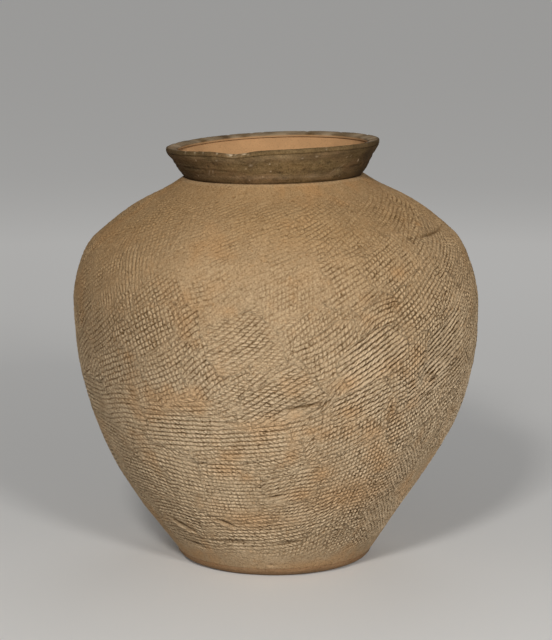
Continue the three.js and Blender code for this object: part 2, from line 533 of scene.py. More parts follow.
@dataclass
class PaddledWall:
    """The beaten face of the body, as fields over angle and distance up the wall."""

    sizes: JarSizes
    outline: Outline
    columns: int
    rows: int
    seed: int = 7
    paddle: Paddle = Paddle()
    blow_reach: float = 58.0
    blow_spacing: float = 38.0
    ring_spacing: float = 24.0
    ring_scatter: float = 10.0
    blow_scatter: float = 0.35
    deepest: float = 1.8
    left_slope: float = -3.0
    right_slope: float = 22.0
    high_slope: float = 33.0
    left_rise: Span = (160.0, 252.0)
    right_rise: Span = (130.0, 240.0)
    net_start: float = 185.0
    net_start_right: float = 265.0
    net_fade: float = 60.0
    worn_zone: Span = (250.0, 350.0)
    fading_zone: Span = (250.0, 375.0)
    foot_wiped: Span = (8.0, 36.0)
    neck_wiped: Span = (46.0, 12.0)
    deep_side: float = -30.0
    pit_sizes: Span = (0.6, 1.6)
    pit_depths: Span = (0.25, 0.8)
    pit_reach: float = 6.0
    patches: tuple[Patch, ...] = (
        Patch(-139, 322, 44, 0.4, 1.35), Patch(-131, 354, 28, 0.5, 1.3), Patch(-48, 370, 30, 0.55, 1.35),
        Patch(-38, 240, 32, 1.5, 0.3), Patch(-52, 306, 26, 0.75, 1.25), Patch(120, 300, 50, 0.4, 1.3),
        Patch(60, 330, 40, 0.5, 1.3), Patch(-96, 326, 62, 0.55, 0.5),
    )
    # The blows that show best fall last. Here their angles and slopes are in degrees.
    last_blows: tuple[Blow, ...] = (
        Blow(0, -128, 272, 29, Weave.NET, 40, 22, prints=(0.9, 1.1), stretch=0.97),
        Blow(0, -140, 232, 20, Weave.NET, 38, 20, prints=(0.9, 1.0), stretch=0.95),
        Blow(0, -118, 176, 3, Weave.LEFT_LEANING, 46, 20, prints=(1.05, 0.6), stretch=1.05),
        Blow(0, -97, 168, 6, Weave.LEFT_LEANING, 40, 20, prints=(1.0, 0.7), stretch=1.03),
        Blow(0, -63, 250, 31, Weave.RIGHT_LEANING, 40, 24, prints=(1.15, 0.5), stretch=1.03),
        Blow(0, -66, 205, 24, Weave.RIGHT_LEANING, 36, 18, prints=(1.1, 0.7), stretch=1.06),
        Blow(0, -45, 186, 22, Weave.STEEP, 38, 20, prints=(1.1, 0.7)),
        Blow(0, -41, 220, 23, Weave.STEEP, 36, 18, prints=(1.45, 0.35), stretch=1.03, sink=-0.4),
        Blow(0, -30, 272, 37, Weave.NET, 36, 18, prints=(1.3, 0.5), stretch=1.05),
        Blow(0, -36, 250, 31, Weave.NET, 44, 24, prints=(1.75, 0.15), stretch=0.88, sink=-0.6),
    )
    marks: tuple[Mark, ...] = (
        *marks_of(MarkKind.SLIT, (-133, 54, 12, 2.4, 4.2, -28), (-109, 66, 9, 1.8, 3.6, -30),
               (-89, 105, 7, 1.4, 2.6, 14)),
        *marks_of(MarkKind.CREASE, (-82, 39, 11, 1.5, 2.0, 12), (-108, 39, 18, 1.4, 1.7, 2),
               (-133, 27, 9, 2.0, 2.4, -12), (-83, 206, 24, 1.6, 2.2, 10), (-27, 362, 36, 1.6, 1.6, 2)),
        *marks_of(MarkKind.STEP, (-44.5, 243, 24, 3.4, 2.0, 84)),
        *marks_of(MarkKind.HOLLOW, (-40, 236, 32, 13, 1.4, 50), (-30, 375, 2.6, 2.2, 1.6),
               (-92, 5, 2.6, 2.0, 1.8)),
        # Dark spots; the one at -34 degrees is painted shade over the sunken rows right of the step, and the
        # one at -44.5 is a painted shadow along the step
        *marks_of(MarkKind.DARK_SPOT, (-34, 240, 24, 34, 0.0, 48), (-84, 213, 12, 4, 0.0, 8),
               (-139, 270, 62, 140), (-117, 21, 14, 7), (-55, 16, 24, 14), (-44.5, 243, 22, 2.4, 0.0, 84)),
        *marks_of(MarkKind.WIPED, (-118, 85, 6, 3), (-101, 83, 7, 3), (-117, 52, 8, 5), (-89, 98, 10, 5),
               (-81, 69, 8, 5), (-84, 198, 15, 6, 0.0, 10), (-118, 340, 36, 16), (-22, 110, 20, 24)),
        *marks_of(MarkKind.WARM_SPOT, (-71, 227, 14, 8, 0.0, 20), (-69, 199, 13, 9), (-80, 181, 9, 5),
               (-75, 130, 11, 14), (-53, 133, 15, 9), (-56, 195, 6, 11), (-99, 129, 7, 5),
               (-126, 194, 15, 8), (-134, 245, 7, 5), (-53, 327, 10, 6), (-98, 72, 32, 14),
               (-62, 100, 44, 20), (-139, 6, 14, 8), (-80, 107, 14, 10), (-62, 3, 60, 6),
               (-134, 12, 7, 5), (-105, 137, 14, 9), (-30, 376, 5, 3.5)),
        *marks_of(MarkKind.PALE_SPOT, (-92, 192, 24, 16), (-82, 136, 12, 7), (-115, 177, 20, 10),
               (-89, 98, 10, 4)),
    )
    layers: dict[Layer, Array] = field(init=False)
    relief: Array = field(init=False)

    def __post_init__(self) -> None:
        """Lays out the fields, beats them, wipes them and adds the marks."""
        self.angles = np.arange(self.columns) * TURN / self.columns
        self.alongs = np.linspace(0.0, self.outline.length, self.rows + 1)
        self.radii = self.outline.at(self.alongs)[:, 0]
        self.angle, self.along = np.meshgrid(self.angles, self.alongs)
        self.layers = {layer: np.zeros(self.angle.shape) for layer in Layer}
        self.relief = np.zeros(self.angle.shape)
        self.owner = np.full(self.angle.shape, -1)
        self.old_owner = self.owner.copy()
        self.clouds = Clouds(self.seed, self.angle, self.along)
        self.ragged = self.paddle.raggedness * self.clouds.layer(100, 12.0)
        for blow in self.blows():
            self.strike(blow)
        self.blur_edges()
        self.wipe()
        self.tint()
        for mark in self.marks:
            self.add_mark(mark)
        self.add_pits()
        self.press_lattice()

    def grain_direction(self, angle: float, along: float) -> float:
        """Finds how the printed rows lean: nearly level low down, and up to the right higher up.

        Args:
            angle: radians round the jar.
            along: distance up the wall.

        Returns:
            Their slope in degrees, up to the right.
        """
        right = float(eased(np.array(math.cos(angle)), -0.7, 0.55))
        start, end = (between(*pair, right) for pair in zip(self.left_rise, self.right_rise))
        rise = float(eased(np.array(along), start, end))
        slope = between(between(self.left_slope, self.right_slope, right), self.high_slope, rise)
        return slope + 2.5 * math.sin(3 * angle + 0.03 * along)

    def uneven(self, angle: float, along: float) -> tuple[float, float]:
        """Finds how much stronger than elsewhere the paddle prints.

        Args:
            angle: radians round the jar.
            along: distance up the wall.

        Returns:
            The strength of rows and of cross grooves.
        """
        rows, beads = 1.0, 1.0
        for patch in self.patches:
            across = float(turn_between(np.array(angle), patch.angle)) * self.sizes.belly_radius
            near = math.exp(-(across ** 2 + (along - patch.along) ** 2) / patch.spread ** 2)
            rows *= 1 + near * (patch.rows - 1)
            beads *= 1 + near * (patch.beads - 1)
        return rows, beads

    def weave(self, angle: float, along: float, pick: float) -> Weave:
        """Chooses how the short grooves lie: a net high up, and leaning grooves below it.

        Args:
            angle: radians round the jar.
            along: distance up the wall.
            pick: a random number from 0 to 1.

        Returns:
            The weave.
        """
        side = float(turn_between(np.array(angle), FRONT))
        start = between(self.net_start, self.net_start_right, float(eased(np.array(side), -0.5, -0.1)))
        if pick < 0.9 * float(eased(np.array(along), start, start + self.net_fade)):
            return Weave.NET
        if side < 0.06:
            return Weave.SQUARE if pick > 0.88 else Weave.LEFT_LEANING
        return Weave.STEEP if pick > 0.45 else Weave.RIGHT_LEANING

    def blows(self) -> list[Blow]:
        """Strews blows over rings round the wall, and adds those that show best.

        Returns:
            The blows, in the order in which they fall.
        """
        draws = np.random.default_rng(self.seed + 1)
        places = []
        ring = 0.0
        while ring < self.outline.length + self.ring_scatter:
            radius = float(np.interp(ring, self.alongs, self.radii))
            count = int(TURN * radius / self.blow_spacing)
            shift = draws.uniform(0, TURN)
            for index in range(count):
                stray = draws.uniform(-self.blow_scatter, self.blow_scatter)
                angle = shift + (index + stray) * TURN / count
                places.append((angle % TURN, ring + draws.uniform(-self.ring_scatter, self.ring_scatter)))
            ring += self.ring_spacing
        order = draws.permutation(len(places))
        struck = [self.blow(number, *places[place], draws) for number, place in enumerate(order)]
        last = [replace(blow, number=len(struck) + index, angle=math.radians(blow.angle) % TURN,
                        slope=math.radians(blow.slope), shift=tuple(draws.uniform(0, 1, 2)))
                for index, blow in enumerate(self.last_blows)]
        return struck + last

    def blow(self, number: int, angle: float, along: float, draws: np.random.Generator) -> Blow:
        """Draws one blow at a place.

        Args:
            number: its place in the order.
            angle: radians round the jar.
            along: distance up the wall.
            draws: the random draws of the beating.

        Returns:
            The blow.
        """
        paddle = self.paddle
        slope = self.grain_direction(angle, along) + draws.normal(0, paddle.wobble)
        weave = self.weave(angle, along, draws.uniform())
        rows, beads = self.uneven(angle, along)
        prints = (draws.uniform(*paddle.firmness) * rows,
                  draws.uniform(*paddle.firmness) * weave.value[2] * beads)
        return Blow(number, angle, along, math.radians(slope), weave, draws.uniform(*paddle.half_lengths),
                    draws.uniform(*paddle.half_widths), tuple(draws.uniform(0, 1, 2)),
                    draws.uniform() < paddle.follows, draws.uniform(*paddle.stretches), prints,
                    draws.uniform(*paddle.sinks), tuple(draws.normal(0, paddle.tipping, 2)),
                    draws.normal(0.0, paddle.bending))

    def strike(self, blow: Blow) -> None:
        """Prints one blow over the ones before it.

        Args:
            blow: the blow that falls.
        """
        near = np.abs(self.alongs - blow.along) < self.blow_reach
        radius = float(np.interp(blow.along, self.alongs, self.radii))
        turn = short_way(self.angles - blow.angle)
        beside = np.abs(turn) * radius < self.blow_reach
        window = np.ix_(near, beside)
        x = turn[beside][None, :] * self.radii[near][:, None]
        y = np.repeat((self.alongs[near] - blow.along)[:, None], int(beside.sum()), axis=1)
        forward = x * math.cos(blow.slope) + y * math.sin(blow.slope)
        sideways = -x * math.sin(blow.slope) + y * math.cos(blow.slope)
        reach = (forward / blow.half_length) ** 4 + (sideways / blow.half_width) ** 4
        reach = reach ** 0.25 + self.ragged[window]
        cover = 1.0 - eased(reach, *self.paddle.edge)
        taken = cover > 0.5
        rows, beads = self.paddle.phases(forward * blow.stretch, sideways * blow.stretch, blow.weave)
        rows = rows + blow.bend * forward ** 2 + self.row_shift(blow)
        beads = beads + blow.shift[1]
        firm = 1.0 - self.paddle.edge_loss * eased(reach, 0.5, 1.0)
        for layer, old, value in ((Layer.ROWS, Layer.OLD_ROWS, rows),
                                  (Layer.BEADS, Layer.OLD_BEADS, beads),
                                  (Layer.ROW_DEPTH, Layer.OLD_ROW_DEPTH, blow.prints[0] * firm),
                                  (Layer.BEAD_DEPTH, Layer.OLD_BEAD_DEPTH, blow.prints[1] * firm)):
            self.layers[old][window] = np.where(taken, self.layers[layer][window], self.layers[old][window])
            self.layers[layer][window] = np.where(taken, value, self.layers[layer][window])
        self.old_owner[window] = np.where(taken, self.owner[window], self.old_owner[window])
        self.owner[window] = np.where(taken, blow.number, self.owner[window])
        hollow = blow.sink + blow.tip[0] * forward + blow.tip[1] * sideways
        hollow = hollow - self.paddle.dome * (1 - reach ** 2)
        self.relief[window] = self.relief[window] * (1 - cover) + hollow * cover

    def row_shift(self, blow: Blow) -> float:
        """Finds where the rows of a blow start: often the cords slip into the grooves already there.

        Args:
            blow: the blow that falls.

        Returns:
            The count of rows at its middle.
        """
        row = int(np.abs(self.alongs - blow.along).argmin())
        column = int(np.abs(short_way(self.angles - blow.angle)).argmin())
        if blow.follows and self.owner[row, column] >= 0:
            return float(self.layers[Layer.ROWS][row, column])
        return blow.shift[0]

    def blur_edges(self) -> None:
        """Weakens the print along the edges between two blows, where its phase jumps."""
        for owner, depths in ((self.owner, (Layer.ROW_DEPTH, Layer.BEAD_DEPTH)),
                              (self.old_owner, (Layer.OLD_ROW_DEPTH, Layer.OLD_BEAD_DEPTH))):
            edge = np.zeros(owner.shape, bool)
            for axis in (0, 1):
                for shift in (1, -1):
                    edge |= np.roll(owner, shift, axis=axis) != owner
            for layer in depths:
                self.layers[layer][edge] *= 0.6

    def wipe(self) -> None:
        """Rubs the print out at the foot and the neck, and unevenly in between."""
        along, length, clouds = self.along, self.outline.length, self.clouds
        broad, middle = clouds.layer(15, 70), clouds.layer(48, 24)
        fine, finest = clouds.layer(150, 8), clouds.layer(340, 3.7)
        right = np.exp(-(turn_between(self.angle, self.deep_side) / 0.6) ** 2)
        worn = eased(along, *self.worn_zone)
        strength = 1.0 + 0.1 * broad + 0.18 * middle + 0.2 * fine + 0.25 * finest
        strength = strength + worn * (0.3 * middle + 0.35 * fine)
        fading = (0.6 - 0.15 * right) * eased(along, *self.fading_zone)
        strength = strength * (1 + 0.6 * right) * (1 - fading)
        below_neck = [length - distance for distance in self.neck_wiped]
        strength = strength * eased(along, *self.foot_wiped) * (1 - eased(along, *below_neck))
        strength = np.clip(strength, 0.0, self.deepest)
        for layer in DEPTHS:
            self.layers[layer] = np.minimum(self.layers[layer] * strength, self.deepest)
        self.layers[Layer.BEAD_DEPTH] *= 1 + 0.3 * finest
        for layer in (Layer.ROWS, Layer.BEADS):
            self.layers[layer] += 0.13 * clouds.layer(260, 5.0)
        calm = eased(along, 0, 25) * (1 - eased(along, length - 20, length))
        self.relief = self.relief * calm + 0.5 * broad * calm
        rough = 1 + 0.7 * worn
        self.relief += 0.1 * rough * clouds.layer(420, 3.1) * eased(along, 0, 6)
        self.relief += 0.13 * rough * clouds.layer(760, 1.7)

    def tint(self) -> None:
        """Lays warm and pale clay over the wall, paints a highlight along its top edge under the neck and
        darkens it towards the foot.
        """
        clouds, along = self.clouds, self.along
        warm = clouds.layer(13, 90) + 0.8 * clouds.layer(38, 30)
        warm = warm + 0.6 * clouds.layer(110, 11)
        pale = clouds.layer(11, 80) + 0.8 * clouds.layer(34, 36)
        pale = pale + 0.6 * clouds.layer(130, 10)
        lower = 0.25 * (1 - eased(along, 110, 190)) + 0.4 * (1 - eased(along, 4, 16))
        self.layers[Layer.WARM] = 0.6 * np.clip(warm - 0.4 + lower, 0, 1)
        self.layers[Layer.PALE] = 0.7 * np.clip(pale - 0.2, 0, 1) * (0.35 + 0.65 * eased(along, 320, 180))
        # A thin pale line along the top edge under the neck: a painted highlight
        self.layers[Layer.BARE] = 0.12 * eased(along, self.outline.length - 5, self.outline.length - 2.5)
        self.layers[Layer.DARK] = 0.24 * (1 - eased(along, 6, 34))

    def add_mark(self, mark: Mark) -> None:
        """Adds one accident to the relief or to the clay's tints, with painted shade in creases and slits
        and a painted highlight on a slit's flap.

        Args:
            mark: the accident.
        """
        radius = float(np.interp(mark.along, self.alongs, self.radii))
        forward, sideways = mark.reach(self.angle, self.along, radius)
        spread = np.exp(-forward ** 2 - sideways ** 2)
        # Creases and slits are darkened as painted shade inside them
        tints = {MarkKind.WARM_SPOT: (Layer.WARM, 0.7), MarkKind.PALE_SPOT: (Layer.PALE, 0.8),
                 MarkKind.DARK_SPOT: (Layer.DARK, 0.35), MarkKind.CREASE: (Layer.DARK, 1.15),
                 MarkKind.SLIT: (Layer.DARK, 1.35)}
        if mark.kind in tints:
            layer, amount = tints[mark.kind]
            self.layers[layer] = np.maximum(self.layers[layer], amount * spread)
        if mark.kind is MarkKind.SLIT:
            fold = np.exp(-forward ** 2 - (sideways + 1.8) ** 2)
            self.relief += 0.3 * mark.depth * fold
            # The raised flap below a slit is paled as a painted highlight
            self.layers[Layer.PALE] = np.maximum(self.layers[Layer.PALE], 0.7 * fold)
            spread_out = np.exp(-forward ** 2 - (sideways / 3.5) ** 2)
            self.wipe_print(spread_out)
        if mark.kind is MarkKind.WIPED:
            self.wipe_print(spread)
        if mark.kind is MarkKind.STEP:
            spread = np.exp(-forward ** 2 - (sideways / 5) ** 2) * eased(-sideways, -0.6, 0.6)
        self.relief -= mark.depth * spread

    def wipe_print(self, share: Array) -> None:
        """Rubs most of the print out where the share is high."""
        for layer in DEPTHS:
            self.layers[layer] *= 1 - 0.85 * share

    def add_pits(self, count: int = 520) -> None:
        """Adds small random pits, where grit fell out or burnt away.

        Args:
            count: how many pits.
        """
        draws = np.random.default_rng(self.seed + 5)
        dark = self.layers[Layer.DARK]
        for _ in range(count):
            angle, along = draws.uniform(0, TURN), draws.uniform(3, self.outline.length - 4)
            size, depth = draws.uniform(*self.pit_sizes), draws.uniform(*self.pit_depths)
            near = np.abs(self.alongs - along) < self.pit_reach
            radius = float(np.interp(along, self.alongs, self.radii))
            turn = short_way(self.angles - angle)
            beside = np.abs(turn) * radius < self.pit_reach
            window = np.ix_(near, beside)
            distance = np.hypot(turn[beside][None, :] * radius, (self.alongs[near] - along)[:, None]) / size
            spread = np.exp(-distance ** 2)
            self.relief[window] -= depth * spread
            dark[window] = np.maximum(dark[window], 0.8 * spread)

    def press_lattice(self) -> None:
        """Presses the printed lattice, and what is left of the one before it, into the relief."""
        for share, names in ((1.0, (Layer.ROWS, Layer.ROW_DEPTH, Layer.BEADS, Layer.BEAD_DEPTH)),
                             (self.paddle.old_share, (Layer.OLD_ROWS, Layer.OLD_ROW_DEPTH, Layer.OLD_BEADS,
                                                      Layer.OLD_BEAD_DEPTH))):
            row, row_depth, bead, bead_depth = (self.layers[name] for name in names)
            rows = self.paddle.groove(row) * row_depth
            beads = self.paddle.groove(bead) * bead_depth
            pressed = self.paddle.row_depth * rows + self.paddle.bead_depth * beads * (1 - 0.5 * rows)
            self.relief -= share * pressed

    def sample(self, values: Array, angle: Array, along: Array) -> Array:
        """Reads a field at the grid places nearest to the given ones.

        Args:
            values: the field.
            angle: radians round the jar.
            along: distances up the wall.

        Returns:
            The field's value at each place.
        """
        column = np.rint(angle / TURN * self.columns).astype(int) % self.columns
        row = np.clip(np.rint(along / self.outline.length * self.rows).astype(int), 0, self.rows)
        return values[row, column]


class Wheel:
    """Makes rings of clay: a drawn chain of points, turned round the axis and closed."""

    MERGE = 0.00002

    @staticmethod
    def free_hand() -> None:
        """Leaves edit mode and selects nothing."""
        if bpy.context.object and bpy.context.object.mode != "OBJECT":
            bpy.ops.object.mode_set(mode="OBJECT")
        bpy.ops.object.select_all(action="DESELECT")

    @classmethod
    def chain(cls, name: str, points: Array) -> bpy.types.Object:
        """Draws a chain of edges through points of a section.

        Args:
            name: name of the new object.
            points: radius and height rows in millimetres.

        Returns:
            The object, in edit mode with all selected.
        """
        cls.free_hand()
        start = (float(points[0][0]) * MM, 0.0, float(points[0][1]) * MM)
        bpy.ops.mesh.primitive_plane_add(size=0.001, location=start)
        drawn = bpy.context.object
        drawn.name = name
        bpy.ops.object.transform_apply(location=True, rotation=True, scale=True)
        bpy.ops.object.mode_set(mode="EDIT")
        bpy.ops.mesh.select_mode(type="VERT")
        bpy.ops.mesh.select_all(action="SELECT")
        bpy.ops.mesh.merge(type="CENTER")
        for step in np.diff(points, axis=0) * MM:
            move = (float(step[0]), 0.0, float(step[1]))
            bpy.ops.mesh.extrude_region_move(TRANSFORM_OT_translate={"value": move})
        bpy.ops.mesh.select_all(action="SELECT")
        return drawn

    @classmethod
    def turned(cls, name: str, points: Array, steps: int) -> bpy.types.Object:
        """Turns a chain of points once round the axis.

        Args:
            name: name of the new object.
            points: radius and height rows in millimetres; a closed section ends where it starts.
            steps: how many segments go round.

        Returns:
            The turned object, in object mode.
        """
        drawn = cls.chain(name, points)
        bpy.ops.mesh.remove_doubles(threshold=cls.MERGE)
        bpy.ops.object.mode_set(mode="OBJECT")
        bpy.ops.object.modifier_add(type="SCREW")
        turning = drawn.modifiers[-1]
        turning.steps = steps
        turning.render_steps = steps
        turning.use_merge_vertices = True
        turning.merge_threshold = cls.MERGE
        bpy.ops.object.modifier_apply(modifier=turning.name)
        bpy.ops.object.mode_set(mode="EDIT")
        bpy.ops.mesh.select_all(action="SELECT")
        bpy.ops.mesh.remove_doubles(threshold=cls.MERGE)
        bpy.ops.mesh.normals_make_consistent(inside=False)
        bpy.ops.object.mode_set(mode="OBJECT")
        return drawn

    @classmethod
    def joined(cls, outer: bpy.types.Object, inner: bpy.types.Object) -> bpy.types.Object:
        """Joins an inner wall to an outer one and bridges both pairs of open edges.

        Args:
            outer: the outer wall, which keeps its name.
            inner: the inner wall.

        Returns:
            The closed ring, in object mode.
        """
        cls.free_hand()
        inner.select_set(True)
        outer.select_set(True)
        bpy.context.view_layer.objects.active = outer
        bpy.ops.object.join()
        cls.bridge_open_edges(outer, True)
        cls.bridge_open_edges(outer, False)
        bpy.ops.object.mode_set(mode="EDIT")
        bpy.ops.mesh.select_all(action="SELECT")
        bpy.ops.mesh.normals_make_consistent(inside=False)
        bpy.ops.object.mode_set(mode="OBJECT")
        return outer

    @classmethod
    def bridge_open_edges(cls, obj: bpy.types.Object, only_upper: bool) -> None:
        """Bridges two open edges of a ring.

        Args:
            obj: the ring, in object mode.
            only_upper: whether to take the open edges of the upper half, or all that are left.
        """
        bpy.ops.object.mode_set(mode="EDIT")
        bpy.ops.mesh.select_mode(type="EDGE")
        bpy.ops.mesh.select_all(action="DESELECT")
        bpy.ops.mesh.select_non_manifold(extend=False, use_wire=False, use_boundary=True,
                                         use_multi_face=False, use_non_contiguous=False, use_verts=False)
        if only_upper:
            bpy.ops.object.mode_set(mode="OBJECT")
            cls.keep_upper(obj.data, read_points(obj)[:, 2])
            bpy.ops.object.mode_set(mode="EDIT")
        bpy.ops.mesh.bridge_edge_loops()
        bpy.ops.object.mode_set(mode="OBJECT")

    @staticmethod
    def keep_upper(mesh: bpy.types.Mesh, height: Array) -> None:
        """Keeps only the upper half of the selected edges selected.

        Args:
            mesh: the ring's mesh.
            height: each vertex's height.
        """
        ends = np.empty(len(mesh.edges) * 2, int)
        mesh.edges.foreach_get("vertices", ends)
        chosen = np.empty(len(mesh.edges), bool)
        mesh.edges.foreach_get("select", chosen)
        middle = height[ends.reshape(-1, 2)].mean(axis=1)
        halfway = (middle[chosen].min() + middle[chosen].max()) / 2
        mesh.vertices.foreach_set("select", np.zeros(len(mesh.vertices), bool))
        mesh.polygons.foreach_set("select", np.zeros(len(mesh.polygons), bool))
        mesh.edges.foreach_set("select", chosen & (middle > halfway))


def read_points(obj: bpy.types.Object) -> Array:
    """Reads an object's vertices.

    Args:
        obj: the object.

    Returns:
        Rows of x, y and z in millimetres.
    """
    flat = np.empty(len(obj.data.vertices) * 3)
    obj.data.vertices.foreach_get("co", flat)
    return flat.reshape(-1, 3) / MM


def write_points(obj: bpy.types.Object, points: Array) -> None:
    """Sets an object's vertices from rows in millimetres."""
    obj.data.vertices.foreach_set("co", (points * MM).ravel())
    obj.data.update()


def write_layer(obj: bpy.types.Object, layer: Layer, values: Array) -> None:
    """Stores one number for each vertex under a layer's name."""
    attribute = obj.data.attributes.new(layer.value, "FLOAT", "POINT")
    attribute.data.foreach_set("value", values.astype(np.float32))


@dataclass(frozen=True)
class Unwrap:
    """Flat map of a ring, cut into lengths that lie above each other."""

    lengths: int = 6
    outer_share: float = 0.8
    margin: float = 0.004
    fill: float = 0.97

    def apply(self, obj: bpy.types.Object, along: Array, outside: Array,
              angle: Array) -> None:
        """Writes the map, named OFBake.

        Args:
            obj: the ring.
            along: for each vertex, its share of the way up the ring's face, 0 to 1.
            outside: for each vertex, whether it lies on the outer face.
            angle: for each vertex, radians round the jar.
        """
        mesh = obj.data
        corner_vertex = np.empty(len(mesh.loops), int)
        mesh.loops.foreach_get("vertex_index", corner_vertex)
        totals = np.empty(len(mesh.polygons), int)
        mesh.polygons.foreach_get("loop_total", totals)
        face = np.repeat(np.arange(len(totals)), totals)
        first = np.concatenate([[0], np.cumsum(totals)[:-1]])
        turn = angle[corner_vertex]
        anchor = turn[first][face]
        turn = anchor + short_way(turn - anchor)
        middle = (np.add.reduceat(turn, first) / totals)[face]
        is_outer = (np.add.reduceat(outside[corner_vertex].astype(float), first) / totals)[face] > 0.99
        whole = np.floor(middle / TURN) * TURN
        strip = np.clip(np.floor((middle - whole) / TURN * self.lengths), 0, self.lengths - 1)
        u = ((turn - whole) / TURN * self.lengths - strip) * (1 - 2 * self.margin) + self.margin
        rise = (self.margin + along[corner_vertex]) * (self.fill - 2 * self.margin)
        outer_row = self.outer_share / self.lengths
        inner_row = (1 - self.outer_share) / self.lengths
        v = np.where(is_outer, (strip + rise) * outer_row, self.outer_share + (strip + rise) * inner_row)
        layer = mesh.uv_layers.new(name="OFBake")
        layer.data.foreach_set("uv", np.stack([u, v], axis=-1).ravel().astype(np.float32))


class Fineness(Enum):
    """The noises in a finish: features to a metre, octaves and roughness."""

    DRIFT = (9.0, 2.0, 0.5)
    FIRE_PATCHES = (14.0, 3.0, 0.55)
    INNER_PATCHES = (45.0, 3.0, 0.6)
    SMOKE = (62.0, 4.0, 0.68)
    MOTTLE = (90.0, 4.0, 0.65)
    FLECKS = (160.0, 3.0, 0.7)
    DIRT_PATCHES = (210.0, 3.0, 0.7)
    JOLT = (330.0, 2.0, 0.6)
    BROKEN_DIRT = (470.0, 2.0, 0.6)
    SAND = (560.0, 2.0, 0.6)
    GRAIN = (620.0, 3.0, 0.75)
    INNER_GRIT = (700.0, 2.0, 0.7)
    GRIT = (1150.0, 2.0, 0.7)
    STREAKS = (1.0, 3.0, 0.6)


class Nodes:
    """Short hand for wiring a finish over the object's own coordinates."""

    def __init__(self, tree: bpy.types.NodeTree) -> None:
        """Takes the node tree to wire.

        Args:
            tree: the finish's tree.
        """
        self.tree = tree
        self.place = self.add("ShaderNodeTexCoord").outputs["Object"]

    def add(self, kind: str) -> bpy.types.Node:
        """Adds a node of a kind."""
        return self.tree.nodes.new(kind)

    def link(self, source: object, target: Socket) -> None:
        """Feeds a socket from another socket, a number or a colour.

        Args:
            source: the socket or value to read.
            target: the socket to feed.
        """
        if isinstance(source, Socket):
            self.tree.links.new(source, target)
        else:
            target.default_value = source

    def math(self, operation: str, *values: object) -> Socket:
        """Works out a sum.

        Args:
            operation: the kind of sum.
            values: its inputs, in order.

        Returns:
            The result.
        """
        node = self.add("ShaderNodeMath")
        node.operation = operation
        for value, socket in zip(values, node.inputs):
            self.link(value, socket)
        return node.outputs[0]

    def scaled(self, value: object, amount: float) -> Socket:
        """Returns a value times an amount."""
        return self.math("MULTIPLY", value, amount)

    def noise(self, fineness: Fineness, place: Socket | None = None) -> Socket:
        """Adds soft noise.

        Args:
            fineness: which of the finish's noises.
            place: where to read it, if not at the object's own coordinates.

        Returns:
            Its value.
        """
        node = self.add("ShaderNodeTexNoise")
        self.link(self.place if place is None else place, node.inputs["Vector"])
        for name, value in zip(("Scale", "Detail", "Roughness"), fineness.value):
            node.inputs[name].default_value = value
        return node.outputs["Fac"]

    def streaks(self) -> Socket:
        """Adds noise drawn out level, as a wet hand leaves it.

        Returns:
            Its value.
        """
        stretch = self.add("ShaderNodeMapping")
        self.link(self.place, stretch.inputs["Vector"])
        stretch.inputs["Scale"].default_value = (9.0, 9.0, 420.0)
        return self.noise(Fineness.STREAKS, stretch.outputs["Vector"])

    def ramp(self, value: object, low: float, high: float) -> Socket:
        """Spreads a value.

        Args:
            value: the value to spread.
            low: what becomes 0.
            high: what becomes 1.

        Returns:
            The spread value.
        """
        node = self.add("ShaderNodeMapRange")
        self.link(value, node.inputs["Value"])
        node.inputs["From Min"].default_value = low
        node.inputs["From Max"].default_value = high
        return node.outputs["Result"]

    def mix(self, share: object, first: object, second: object) -> Socket:
        """Mixes two colours.

        Args:
            share: how much of the second to take.
            first: the first colour.
            second: the second colour.

        Returns:
            The colour between them.
        """
        node = self.add("ShaderNodeMix")
        node.data_type = "RGBA"
        for value, index in ((share, 0), (first, 6), (second, 7)):
            self.link(value, node.inputs[index])
        return node.outputs[2]

    def lay(self, tint: object, share: object, amount: float, color: Socket) -> Socket:
        """Lays a tint over a colour.

        Args:
            tint: the tint.
            share: where it lies.
            amount: how much of it shows there.
            color: the colour below.

        Returns:
            The tinted colour.
        """
        return self.mix(self.scaled(share, amount), color, tint)

    def layer(self, layer: Layer) -> Socket:
        """Reads a vertex layer.

        Args:
            layer: which one.

        Returns:
            Its value.
        """
        node = self.add("ShaderNodeAttribute")
        node.attribute_name = layer.value
        return node.outputs["Fac"]

    def groove(self, phase: object, depth: object, sharpness: float) -> Socket:
        """Shapes a set of grooves.

        Args:
            phase: the count of grooves.
            depth: how deep they are.
            sharpness: how narrow they are.

        Returns:
            The depth in the middle of each groove, and 0 between grooves.
        """
        wave = self.math("COSINE", self.scaled(phase, TURN))
        lifted = self.math("MULTIPLY_ADD", wave, 0.5, 0.5)
        return self.math("MULTIPLY", self.math("POWER", lifted, sharpness), depth)


@dataclass(frozen=True)
class ClayTones:
    """The shades that one clay took in the fire."""

    base: Color
    shade: Color
    warm: Color
    pale: Color


